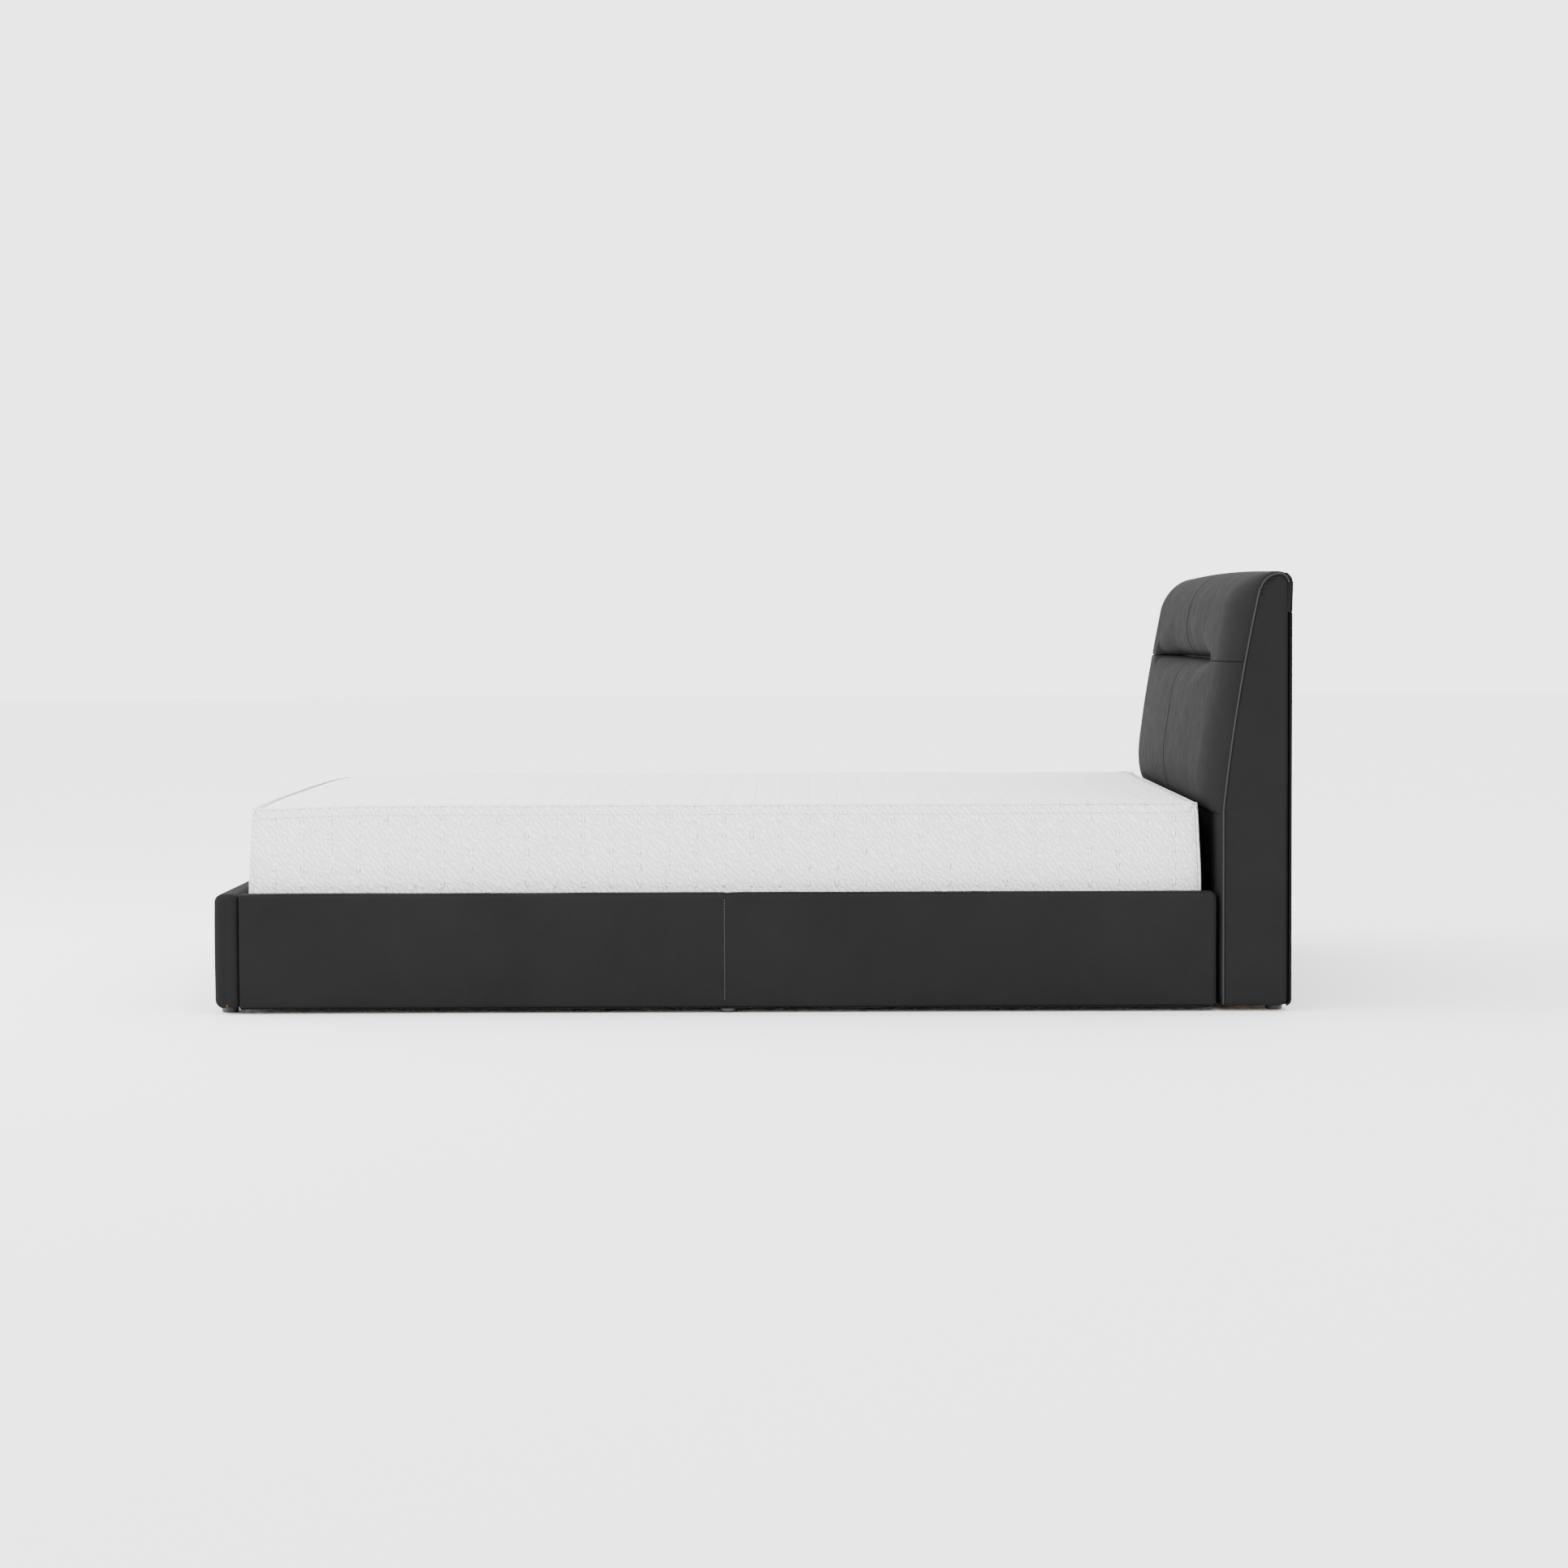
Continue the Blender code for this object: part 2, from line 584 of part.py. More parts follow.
def make_corner(end, side, s):
    """Angle bracket and bolt in one inside corner of the base. End is 1 at the head, -1 at the foot."""
    face = WELL_HEAD_X - GAP if end > 0 else WELL_FOOT_X + GAP
    x1, x2 = face - end * BRACKET_STEEL, face - end * BRACKET_LEG
    y0, y1, y2 = BRACKET_Y, BRACKET_Y - BRACKET_STEEL, BRACKET_Y - BRACKET_LEG
    outline = [(face, y0), (x2, y0), (x2, y1), (x1, y1), (x1, y2), (face, y2)]
    name = "head" if end > 0 else "foot"
    levels = (BRACKET_BOTTOM_Z, BRACKET_TOP_Z)
    bracket = loft(
        f"corner_bracket_{name}_{side}",
        [[(x, s * y, z) for x, y in outline] for z in levels],
        "steel",
    )
    hole_from, hole_to = sorted((x1 - end * HOLE_OVERSHOOT, face + end * HOLE_OVERSHOOT))
    cut(bracket, [bolt_hole(f"bracket_hole_{name}_{side}", hole_from, hole_to, s * BOLT_Y)])

    if end > 0:
        tip = SEAM_BASE_X + WRAP_INSET + 2 * GAP + FRONT_BOARD_THICKNESS + BOLT_BITE
    else:
        tip = FOOT_END_X + PADDING_OUTSIDE + BOARD_THICKNESS - FOOT_BOLT_BITE
    seat = x1 - end * GAP
    profile = [(BOLT_RADIUS, tip), (BOLT_RADIUS, seat)]
    profile += [(BOLT_HEAD_RADIUS, seat), (BOLT_HEAD_RADIUS, seat - end * BOLT_HEAD_HEIGHT)]
    turned(f"corner_bolt_{name}_{side}", profile, 12, "zinc", (0.0, s * BOLT_Y, BOLT_Z), axis="X")


def make_corners():
    for end in (-1, 1):
        for side, s in (("right", -1), ("left", 1)):
            make_corner(end, side, s)


def make_slats():
    half = RAIL_BOARD_INNER_Y - SLAT_END_GAP
    first = WELL_FOOT_X + SLAT_FIRST_GAP + SLAT_WIDTH / 2
    last = WELL_HEAD_X - SLAT_FIRST_GAP - SLAT_WIDTH / 2
    for i in range(SLAT_COUNT):
        x = first + (last - first) * i / (SLAT_COUNT - 1)
        box(
            f"slat_{i + 1:02d}",
            (x - SLAT_WIDTH / 2, -half, SLAT_BOTTOM_Z),
            (x + SLAT_WIDTH / 2, half, SLAT_TOP_Z),
            "timber",
        )


def make_beam():
    foot, head = WELL_FOOT_X + GAP, WELL_HEAD_X - GAP
    top = SLAT_BOTTOM_Z - GAP
    box(
        "centre_beam",
        (foot + HANGER_STEEL + GAP, -BEAM_WIDTH / 2, BEAM_BOTTOM_Z),
        (head - HANGER_STEEL - GAP, BEAM_WIDTH / 2, top),
        "timber",
    )
    for name, face, end in (("foot", foot, -1), ("head", head, 1)):
        inner = face - end * HANGER_LENGTH
        back = face - end * HANGER_STEEL
        half, wall = BEAM_WIDTH / 2 + GAP, BEAM_WIDTH / 2 + GAP + HANGER_STEEL
        outline = [(face, -wall), (inner, -wall), (inner, -half), (back, -half)]
        outline += [(back, half), (inner, half), (inner, wall), (face, wall)]
        low = BEAM_BOTTOM_Z - GAP - HANGER_STEEL
        rings = [[(x, y, z) for x, y in outline] for z in (low, top)]
        hanger = loft(f"beam_hanger_{name}", rings, "steel")
        overlap = HANGER_STEEL / 3
        floor_low = (min(back, inner), -half - overlap, low)
        floor_high = (max(back, inner), half + overlap, BEAM_BOTTOM_Z - GAP)
        seat = box(f"hanger_seat_{name}", floor_low, floor_high, "steel")
        seat.hide_render = True
        seat.display_type = "WIRE"
        union = hanger.modifiers.new("seat", "BOOLEAN")
        union.operation = "UNION"
        union.solver = "EXACT"
        union.object = seat


def make_centre_legs():
    for number, x in enumerate(LEG_STATIONS, 1):
        half = LEG_SECTION / 2
        top = BEAM_BOTTOM_Z - GAP
        leg = box(
            f"centre_leg_{number}",
            (x - half, -half, LEG_FLOOR_GAP),
            (x + half, half, top),
            "timber",
        )
        bore_top = top - LEG_BORE_ROOF
        bore_radius = STUD_RADIUS + STUD_CLEARANCE
        bore = [(bore_radius, LEG_FLOOR_GAP - HOLE_OVERSHOOT), (bore_radius, bore_top)]
        cut(leg, [turned(f"leg_bore_{number}", bore, 24, "steel", (x, 0.0, 0.0))])
        foot = [(FOOT_RADIUS - FOOT_CHAMFER, 0.0), (FOOT_RADIUS, FOOT_CHAMFER)]
        foot += [(FOOT_RADIUS - FOOT_TAPER, FOOT_HEIGHT)]
        foot += [(STUD_RADIUS, FOOT_HEIGHT), (STUD_RADIUS, bore_top - STUD_END_SPACE)]
        turned(f"levelling_foot_{number}", foot, 24, "nylon", (x, 0.0, 0.0))


def make_glides():
    corner_y = GUSSET_INNER_Y - GAP - UPRIGHT_WIDTH / 2
    rail_y = SIDE_Y - RAIL_THICKNESS / 2
    places = {
        "head_right": (BACK_X - UPRIGHT_DEPTH / 2, -corner_y),
        "head_left": (BACK_X - UPRIGHT_DEPTH / 2, corner_y),
        "foot_right": (FOOT_END_X + FOOTBOARD_DEPTH / 2, -corner_y),
        "foot_left": (FOOT_END_X + FOOTBOARD_DEPTH / 2, corner_y),
        "rail_right": ((WELL_FOOT_X + WELL_HEAD_X) / 2, -rail_y),
        "rail_left": ((WELL_FOOT_X + WELL_HEAD_X) / 2, rail_y),
    }
    top = BASE_Z - GAP
    profile = [(GLIDE_RADIUS - GLIDE_CHAMFER, 0.0), (GLIDE_RADIUS, GLIDE_CHAMFER), (GLIDE_RADIUS, top)]
    for name, (x, y) in places.items():
        turned(f"glide_{name}", profile, 20, "nylon", (x, y, 0.0))


# ---- The mattress ----


def rounded_ring(inset, z):
    """A rounded rectangle at height z, moved in from the mattress's sides by inset."""
    radius = max(MATTRESS_CORNER_RADIUS - inset, 0.002)
    low_x, high_x = WELL_FOOT_X + FOOT_GAP + inset, WELL_HEAD_X - HEAD_GAP - inset
    half_y = MATTRESS_WIDTH / 2 - inset
    points = []
    for x, y, start in (
        (high_x - radius, half_y - radius, 0),
        (low_x + radius, half_y - radius, 90),
        (low_x + radius, -half_y + radius, 180),
        (high_x - radius, -half_y + radius, 270),
    ):
        points += arc((x, y), radius, start, start + 90, 5)
    return [(x, y, z) for x, y in points]


def rounded_rings(inset, low, high, top_radius, bottom_radius):
    """Rings up a slab with rounded top and bottom edges."""
    rings = []
    for angle in (0, 30, 60, 90):
        turn = math.radians(angle)
        inward, rise = bottom_radius * (1 - math.sin(turn)), bottom_radius * (1 - math.cos(turn))
        rings.append(rounded_ring(inset + inward, low + rise))
    for angle in (0, 30, 60, 90):
        turn = math.radians(angle)
        inward, drop = top_radius * (1 - math.cos(turn)), top_radius * (1 - math.sin(turn))
        rings.append(rounded_ring(inset + inward, high - drop))
    return rings


def make_mattress():
    r = MATTRESS_EDGE_RADIUS
    skin = COVER_THICKNESS + GAP
    core_low, core_high = MATTRESS_BOTTOM_Z + skin, MATTRESS_TOP_Z - skin
    loft("mattress_core", rounded_rings(skin, core_low, core_high, r - skin, r - skin), "foam", smooth=True)
    outside = rounded_rings(0.0, MATTRESS_BOTTOM_Z, MATTRESS_TOP_Z, r, r)
    wall = COVER_THICKNESS
    inside = rounded_rings(wall, MATTRESS_BOTTOM_Z + wall, MATTRESS_TOP_Z - wall, r - wall, r - wall)
    hem_inside = rounded_ring(COVER_HEM, MATTRESS_BOTTOM_Z + COVER_THICKNESS)
    hem_outside = rounded_ring(COVER_HEM, MATTRESS_BOTTOM_Z)
    loft("mattress_cover", list(reversed(inside)) + [hem_inside, hem_outside] + outside, "knit", smooth=True)
    cloth_edge = COVER_HEM + GAP
    cloth = [rounded_ring(cloth_edge, z) for z in (MATTRESS_BOTTOM_Z, MATTRESS_BOTTOM_Z + COVER_THICKNESS)]
    loft("mattress_base_cloth", cloth, "backing")


def main():
    clear_scene()
    make_headboard_frame()
    make_headboard_sides()
    make_front_cushions()
    make_apron()
    make_back_panel()
    make_welts()
    make_side_rails()
    make_footboard()
    make_corners()
    make_slats()
    make_beam()
    make_centre_legs()
    make_glides()
    make_mattress()


main()
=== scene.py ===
import json
import math

import bpy
from mathutils import Matrix, Vector, noise


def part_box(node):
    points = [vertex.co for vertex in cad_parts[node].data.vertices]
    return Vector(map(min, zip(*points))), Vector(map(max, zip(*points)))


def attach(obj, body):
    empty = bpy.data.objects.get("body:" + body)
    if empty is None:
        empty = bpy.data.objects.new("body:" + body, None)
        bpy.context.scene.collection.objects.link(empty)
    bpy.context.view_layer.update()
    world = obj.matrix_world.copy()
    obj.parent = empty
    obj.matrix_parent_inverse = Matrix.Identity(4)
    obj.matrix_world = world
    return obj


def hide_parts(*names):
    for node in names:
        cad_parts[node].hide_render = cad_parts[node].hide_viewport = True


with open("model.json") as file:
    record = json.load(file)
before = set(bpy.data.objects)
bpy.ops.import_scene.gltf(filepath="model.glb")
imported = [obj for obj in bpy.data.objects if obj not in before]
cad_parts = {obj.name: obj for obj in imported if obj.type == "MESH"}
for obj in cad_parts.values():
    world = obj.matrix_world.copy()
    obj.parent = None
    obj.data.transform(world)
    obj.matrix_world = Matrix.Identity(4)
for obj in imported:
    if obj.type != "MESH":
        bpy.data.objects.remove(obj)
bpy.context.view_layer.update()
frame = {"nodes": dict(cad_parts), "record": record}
print("frame loaded:", len(frame["nodes"]), "nodes")


# Small tools that every piece uses

def smoothStep(value):
    value = min(max(value, 0.0), 1.0)
    return value * value * (3 - 2 * value)


def linearColour(hexText):
    channels = [int(hexText[i:i + 2], 16) / 255 for i in (1, 3, 5)]
    linear = [c / 12.92 if c <= 0.04045 else ((c + 0.055) / 1.055) ** 2.4 for c in channels]
    return (*linear, 1.0)


def quarterRound(distance, radius):
    # how far a rounded end has drawn in at a distance from its tip
    turn = min(max(1 - distance / radius, 0.0), 1.0)
    return radius * (1 - math.sqrt(1 - turn ** 2))


def ripple(x, y, z, size):
    # soft unevenness of a stuffed surface, between about -1 and 1
    return noise.noise(Vector((x, y, z)) / size)


def evenly(start, end, step):
    # places from start to end, about step apart, without the first
    count = max(1, round(abs(end - start) / step))
    return [start + (end - start) * (i + 1) / count for i in range(count)]


def straight(start, end, count):
    # points on a straight line, without its ends
    return [tuple(a + (b - a) * k / count for a, b in zip(start, end)) for k in range(1, count)]


def arcPoints(centre, radius, fromAngle, toAngle, steps):
    points = []
    for i in range(steps + 1):
        angle = math.radians(fromAngle + (toAngle - fromAngle) * i / steps)
        points.append((centre[0] + radius * math.cos(angle), centre[1] + radius * math.sin(angle)))
    return points


def respace(points, step):
    # the same line with its points about step apart
    lengths = [0.0]
    for a, b in zip(points, points[1:]):
        lengths.append(lengths[-1] + math.dist(a, b))
    count = max(2, round(lengths[-1] / step))
    result, j = [], 0
    for i in range(count + 1):
        along = lengths[-1] * i / count
        while j < len(points) - 2 and lengths[j + 1] < along:
            j += 1
        span = max(lengths[j + 1] - lengths[j], 1e-9)
        share = min(max((along - lengths[j]) / span, 0.0), 1.0)
        result.append(tuple(a + (b - a) * share for a, b in zip(points[j], points[j + 1])))
    return result


def deselectAll():
    if bpy.context.object and bpy.context.object.mode != "OBJECT":
        bpy.ops.object.mode_set(mode="OBJECT")
    bpy.ops.object.select_all(action="DESELECT")


def makeActive(piece):
    deselectAll()
    piece.select_set(True)
    bpy.context.view_layer.objects.active = piece


def applyModifier(piece, kind, **settings):
    makeActive(piece)
    modifier = piece.modifiers.new(kind.title(), kind)
    for key, value in settings.items():
        setattr(modifier, key, value)
    bpy.ops.object.modifier_apply(modifier=modifier.name)


def smoothExceptFolds(piece):
    makeActive(piece)
    bpy.ops.object.shade_smooth()
    bpy.ops.object.mode_set(mode="EDIT")
    bpy.ops.mesh.select_all(action="DESELECT")
    bpy.ops.mesh.edges_select_sharp(sharpness=math.radians(50))
    bpy.ops.mesh.mark_sharp()
    bpy.ops.object.mode_set(mode="OBJECT")


def sewnSkin(name, columns, rows, place, thickness):
    # a sheet of columns by rows points, each put by place(i, j), then given its thickness inwards
    deselectAll()
    bpy.ops.mesh.primitive_grid_add(x_subdivisions=columns - 1, y_subdivisions=rows - 1, size=2)
    piece = bpy.context.object
    piece.name = name
    piece.data.name = name
    for vertex in piece.data.vertices:
        i = round((vertex.co.x + 1) / 2 * (columns - 1))
        j = round((vertex.co.y + 1) / 2 * (rows - 1))
        vertex.co = place(i, j)
    piece.data.update()
    applyModifier(piece, "SOLIDIFY", thickness=thickness, offset=-1.0, use_even_offset=False)
    smoothExceptFolds(piece)
    return piece


def finishPiece(piece, material, slot, body, *nodes):
    piece.data.materials.clear()
    piece.data.materials.append(material)
    if nodes:
        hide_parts(*nodes)
    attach(piece, body)


# Camera, light and floor

studio = {
    "cameraPlace": (0.1084, -8.3196, 0.8365),
    "lens": 81.52,
    "pitch": -2.675,
    "yaw": 0.3013,
    "roll": -0.2198,
    "worldStrength": 3.6,
    "footLightPlace": (-4.5, -0.5, 3.0),
    "footLightTarget": (0.8, 0.0, 0.5),
    "footLightSize": 3.0,
    "footLightPower": 320.0,
    "floorSize": 60.0,
    "floorColour": "#f6f6f6",
    "floorRoughness": 0.8,
}


def makeCamera():
    data = bpy.data.cameras.new("studioCamera")
    data.lens = studio["lens"]
    data.sensor_width = 36.0
    data.clip_end = 100.0
    camera = bpy.data.objects.new("studioCamera", data)
    bpy.context.scene.collection.objects.link(camera)
    turn = Matrix.Rotation(math.radians(studio["yaw"]), 4, "Z")
    tilt = Matrix.Rotation(math.radians(90 + studio["pitch"]), 4, "X")
    roll = Matrix.Rotation(math.radians(studio["roll"]), 4, "Z")
    camera.matrix_world = Matrix.Translation(studio["cameraPlace"]) @ turn @ tilt @ roll
    bpy.context.scene.camera = camera


def makeFootLight():
    # one large soft light beyond the foot end
    data = bpy.data.lights.new("footSoft", "AREA")
    data.shape = "SQUARE"
    data.size = studio["footLightSize"]
    data.energy = studio["footLightPower"]
    light = bpy.data.objects.new("footSoft", data)
    bpy.context.scene.collection.objects.link(light)
    light.location = studio["footLightPlace"]
    aim = Vector(studio["footLightTarget"]) - Vector(studio["footLightPlace"])
    light.rotation_euler = aim.to_track_quat("-Z", "Y").to_euler()


def makeStudio():
    world = bpy.data.worlds.new("studioWorld")
    bpy.context.scene.world = world
    world.use_nodes = True
    background = world.node_tree.nodes["Background"]
    background.inputs["Color"].default_value = (1.0, 1.0, 1.0, 1.0)
    background.inputs["Strength"].default_value = studio["worldStrength"]
    makeFootLight()
    deselectAll()
    bpy.ops.mesh.primitive_plane_add(size=studio["floorSize"], location=(0, 0, 0))
    floor = bpy.context.object
    floor.name = "studioFloor"
    material = bpy.data.materials.new("paintedFloor")
    material.use_nodes = True
    shader = material.node_tree.nodes["Principled BSDF"]
    shader.inputs["Base Color"].default_value = linearColour(studio["floorColour"])
    shader.inputs["Roughness"].default_value = studio["floorRoughness"]
    floor.data.materials.append(material)


makeCamera()
makeStudio()
print("camera, light and floor made")


# Materials

def addNode(tree, kind, inputs=None, **settings):
    node = tree.nodes.new(kind)
    for key, value in settings.items():
        setattr(node, key, value)
    for name, value in (inputs or {}).items():
        if isinstance(value, bpy.types.NodeSocket):
            tree.links.new(value, node.inputs[name])
        else:
            node.inputs[name].default_value = value
    return node


def startMaterial(name, roughness, metallic=0.0):
    material = bpy.data.materials.new(name)
    material.use_nodes = True
    tree = material.node_tree
    shader = tree.nodes["Principled BSDF"]
    shader.inputs["Roughness"].default_value = roughness
    shader.inputs["Metallic"].default_value = metallic
    return material, tree, shader


def waveScale(repeatMm):
    # the texture's Scale at which its bands repeat after so many millimetres
    return 1000 * 2 * math.pi / 20 / repeatMm


leather = {
    "dark": "#191919",
    "light": "#1f1f1f",
    "roughness": (0.58, 0.66),
    "specular": 0.006,
    "blotchMm": 180.0,
    "grainMm": 2.4,
    "creaseMm": 30.0,
    "grainDepth": 0.00004,
    "creaseDepth": 0.00010,
    "weltSpecular": 0.25,
    "weltRoughness": (0.40, 0.46),
}


def makeLeather(name, specular, roughness):
    # semi-aniline cowhide, dyed charcoal and lightly corrected: soft sheen, shallow pebble, faint creases
    material, tree, shader = startMaterial(name, roughness[0])
    shader.inputs["Specular IOR Level"].default_value = specular
    place = addNode(tree, "ShaderNodeTexCoord").outputs["Object"]
    blotch = addNode(tree, "ShaderNodeTexNoise", {"Vector": place, "Scale": 1000 / leather["blotchMm"],
                                                  "Detail": 5.0})
    colour = addNode(tree, "ShaderNodeMix", {"Factor": blotch.outputs["Fac"]}, data_type="RGBA")
    colour.inputs["A"].default_value = linearColour(leather["dark"])
    colour.inputs["B"].default_value = linearColour(leather["light"])
    tree.links.new(colour.outputs["Result"], shader.inputs["Base Color"])
    # the pebble is drawn coarser than the real 1 mm so that it shows
    grain = addNode(tree, "ShaderNodeTexVoronoi", {"Vector": place, "Scale": 1000 / leather["grainMm"]},
                    feature="SMOOTH_F1")
    crease = addNode(tree, "ShaderNodeTexNoise", {"Vector": place, "Scale": 1000 / leather["creaseMm"],
                                                  "Detail": 6.0, "Roughness": 0.6})
    rough = addNode(tree, "ShaderNodeMapRange", {"Value": crease.outputs["Fac"],
                                                 "From Min": 0.3, "From Max": 0.7,
                                                 "To Min": roughness[0], "To Max": roughness[1]})
    tree.links.new(rough.outputs["Result"], shader.inputs["Roughness"])
    creaseBump = addNode(tree, "ShaderNodeBump", {"Height": crease.outputs["Fac"],
                                                  "Distance": leather["creaseDepth"], "Strength": 1.0})
    grainBump = addNode(tree, "ShaderNodeBump", {"Height": grain.outputs["Distance"],
                                                 "Distance": leather["grainDepth"], "Strength": 1.0,
                                                 "Normal": creaseBump.outputs["Normal"]})
    tree.links.new(grainBump.outputs["Normal"], shader.inputs["Normal"])
    return material


knit = {
    "thread": "#eeeeed",
    # painted shade: the rib's hollows are coloured darker than the thread
    "hollow": "#d0d0d0",
    # painted highlight: the raised motif is coloured lighter than the thread
    "motifHighlight": "#f2f2f1",
    "twillMm": 10.0,
    "columnMm": 60.0,
    "motifMm": 34.0,
    "cloudMm": 14.0,
    "twillDepth": 0.0010,
    "motifDepth": 0.0030,
    "cloudDepth": 0.0026,
}


def makeKnit():
    # double-jersey mattress ticking in white polyester: diagonal ribs and columns of a raised motif
    material, tree, shader = startMaterial("whiteMattressTicking", 0.9)
    shader.inputs["Sheen Weight"].default_value = 0.25
    shader.inputs["Sheen Roughness"].default_value = 0.5
    cloth = addNode(tree, "ShaderNodeUVMap", uv_map="cloth").outputs["UV"]
    waver = addNode(tree, "ShaderNodeTexNoise", {"Vector": cloth, "Scale": 1000 / knit["cloudMm"],
                                                 "Detail": 4.0})
    # the diagonal rib
    turned = addNode(tree, "ShaderNodeMapping", {"Vector": cloth,
                                                 "Rotation": (0.0, 0.0, math.radians(-42))})
    twill = addNode(tree, "ShaderNodeTexWave", {"Vector": turned.outputs["Vector"],
                                                "Scale": waveScale(knit["twillMm"]), "Distortion": 9.0,
                                                "Detail": 4.0, "Detail Scale": 2.0}, wave_type="BANDS")
    apart = addNode(tree, "ShaderNodeSeparateXYZ", {"Vector": cloth})
    column = addNode(tree, "ShaderNodeMath", {0: apart.outputs["X"],
                                              1: 1000 / knit["columnMm"] * 2 * math.pi}, operation="MULTIPLY")
    columnWave = addNode(tree, "ShaderNodeMath", {0: column.outputs[0]}, operation="COSINE")
    row = addNode(tree, "ShaderNodeMath", {0: apart.outputs["Y"], 1: 1000 / knit["motifMm"] * 2 * math.pi},
                  operation="MULTIPLY")
    rowWave = addNode(tree, "ShaderNodeMath", {0: row.outputs[0]}, operation="COSINE")
    columnPeak = addNode(tree, "ShaderNodeMapRange", {"Value": columnWave.outputs[0], "From Min": 0.90,
                                                      "From Max": 1.0}, interpolation_type="SMOOTHSTEP")
    rowPeak = addNode(tree, "ShaderNodeMapRange", {"Value": rowWave.outputs[0], "From Min": -0.4,
                                                   "From Max": 1.0}, interpolation_type="SMOOTHSTEP")
    motif = addNode(tree, "ShaderNodeMath", {0: columnPeak.outputs["Result"], 1: rowPeak.outputs["Result"]},
                    operation="MULTIPLY")
    cloudBump = addNode(tree, "ShaderNodeBump", {"Height": waver.outputs["Fac"],
                                                 "Distance": knit["cloudDepth"]})
    motifBump = addNode(tree, "ShaderNodeBump", {"Height": motif.outputs[0], "Distance": knit["motifDepth"],
                                                 "Normal": cloudBump.outputs["Normal"]})
    twillBump = addNode(tree, "ShaderNodeBump", {"Height": twill.outputs["Fac"],
                                                 "Distance": knit["twillDepth"],
                                                 "Normal": motifBump.outputs["Normal"]})
    tree.links.new(twillBump.outputs["Normal"], shader.inputs["Normal"])
    # painted shade: the rib's hollows are darkened in colour, since the bump alone hardly shows
    shade = addNode(tree, "ShaderNodeMix", {"Factor": twill.outputs["Fac"]}, data_type="RGBA")
    shade.inputs["A"].default_value = linearColour(knit["hollow"])
    shade.inputs["B"].default_value = linearColour(knit["thread"])
    # painted highlight: the raised motif is lightened in colour
    motifHighlight = addNode(tree, "ShaderNodeMix", {"Factor": motif.outputs[0]}, data_type="RGBA")
    tree.links.new(shade.outputs["Result"], motifHighlight.inputs["A"])
    motifHighlight.inputs["B"].default_value = linearColour(knit["motifHighlight"])
    tree.links.new(motifHighlight.outputs["Result"], shader.inputs["Base Color"])
    return material


wood = {
    "pineDark": "#b98a54",
    "pineLight": "#e0bb85",
    "plyDark": "#8f6a3f",
    "plyLight": "#c9a877",
    "ringMm": 9.0,
    "bandMm": 15.08,
    "bumpDepth": 0.0004,
}


def makePine(name, alongAxis):
    # planed spruce and pine: straight growth rings along the board, dull dry surface
    material, tree, shader = startMaterial(name, 0.62)
    place = addNode(tree, "ShaderNodeTexCoord").outputs["Object"]
    stretch = [1.0, 1.0, 1.0]
    stretch[alongAxis] = 0.05
    long = addNode(tree, "ShaderNodeMapping", {"Vector": place, "Scale": stretch})
    grain = addNode(tree, "ShaderNodeTexNoise", {"Vector": long.outputs["Vector"],
                                                 "Scale": 1000 / wood["ringMm"], "Detail": 6.0,
                                                 "Roughness": 0.6, "Distortion": 0.6})
    colour = addNode(tree, "ShaderNodeMix", {"Factor": grain.outputs["Fac"]}, data_type="RGBA")
    colour.inputs["A"].default_value = linearColour(wood["pineDark"])
    colour.inputs["B"].default_value = linearColour(wood["pineLight"])
    tree.links.new(colour.outputs["Result"], shader.inputs["Base Color"])
    bump = addNode(tree, "ShaderNodeBump", {"Height": grain.outputs["Fac"], "Distance": wood["bumpDepth"]})
    tree.links.new(bump.outputs["Normal"], shader.inputs["Normal"])
    return material


def makePlywood():
    # birch plywood, with coarse bands along X that stand in for its layers
    material, tree, shader = startMaterial("birchPlywood", 0.6)
    place = addNode(tree, "ShaderNodeTexCoord").outputs["Object"]
    bands = addNode(tree, "ShaderNodeTexWave", {"Vector": place, "Scale": waveScale(wood["bandMm"]),
                                                "Distortion": 1.0}, wave_type="BANDS", bands_direction="X")
    cloud = addNode(tree, "ShaderNodeTexNoise", {"Vector": place, "Scale": 14.0, "Detail": 6.0})
    mixed = addNode(tree, "ShaderNodeMath", {0: bands.outputs["Fac"], 1: cloud.outputs["Fac"]},
                    operation="MULTIPLY")
    colour = addNode(tree, "ShaderNodeMix", {"Factor": mixed.outputs[0]}, data_type="RGBA")
    colour.inputs["A"].default_value = linearColour(wood["plyDark"])
    colour.inputs["B"].default_value = linearColour(wood["plyLight"])
    tree.links.new(colour.outputs["Result"], shader.inputs["Base Color"])
    bump = addNode(tree, "ShaderNodeBump", {"Height": cloud.outputs["Fac"], "Distance": wood["bumpDepth"]})
    tree.links.new(bump.outputs["Normal"], shader.inputs["Normal"])
    return material


def makeSpeckled(name, darkHex, lightHex, grainMm, roughness, metallic, depth):
    # a dull surface with a fine even grain: powder coat, zinc plate, moulded nylon, foam or pressed felt
    material, tree, shader = startMaterial(name, roughness, metallic)
    place = addNode(tree, "ShaderNodeTexCoord").outputs["Object"]
    grain = addNode(tree, "ShaderNodeTexNoise", {"Vector": place, "Scale": 1000 / grainMm, "Detail": 4.0})
    colour = addNode(tree, "ShaderNodeMix", {"Factor": grain.outputs["Fac"]}, data_type="RGBA")
    colour.inputs["A"].default_value = linearColour(darkHex)
    colour.inputs["B"].default_value = linearColour(lightHex)
    tree.links.new(colour.outputs["Result"], shader.inputs["Base Color"])
    bump = addNode(tree, "ShaderNodeBump", {"Height": grain.outputs["Fac"], "Distance": depth})
    tree.links.new(bump.outputs["Normal"], shader.inputs["Normal"])
    return material


leatherMaterial = makeLeather("charcoalCowhide", leather["specular"], leather["roughness"])
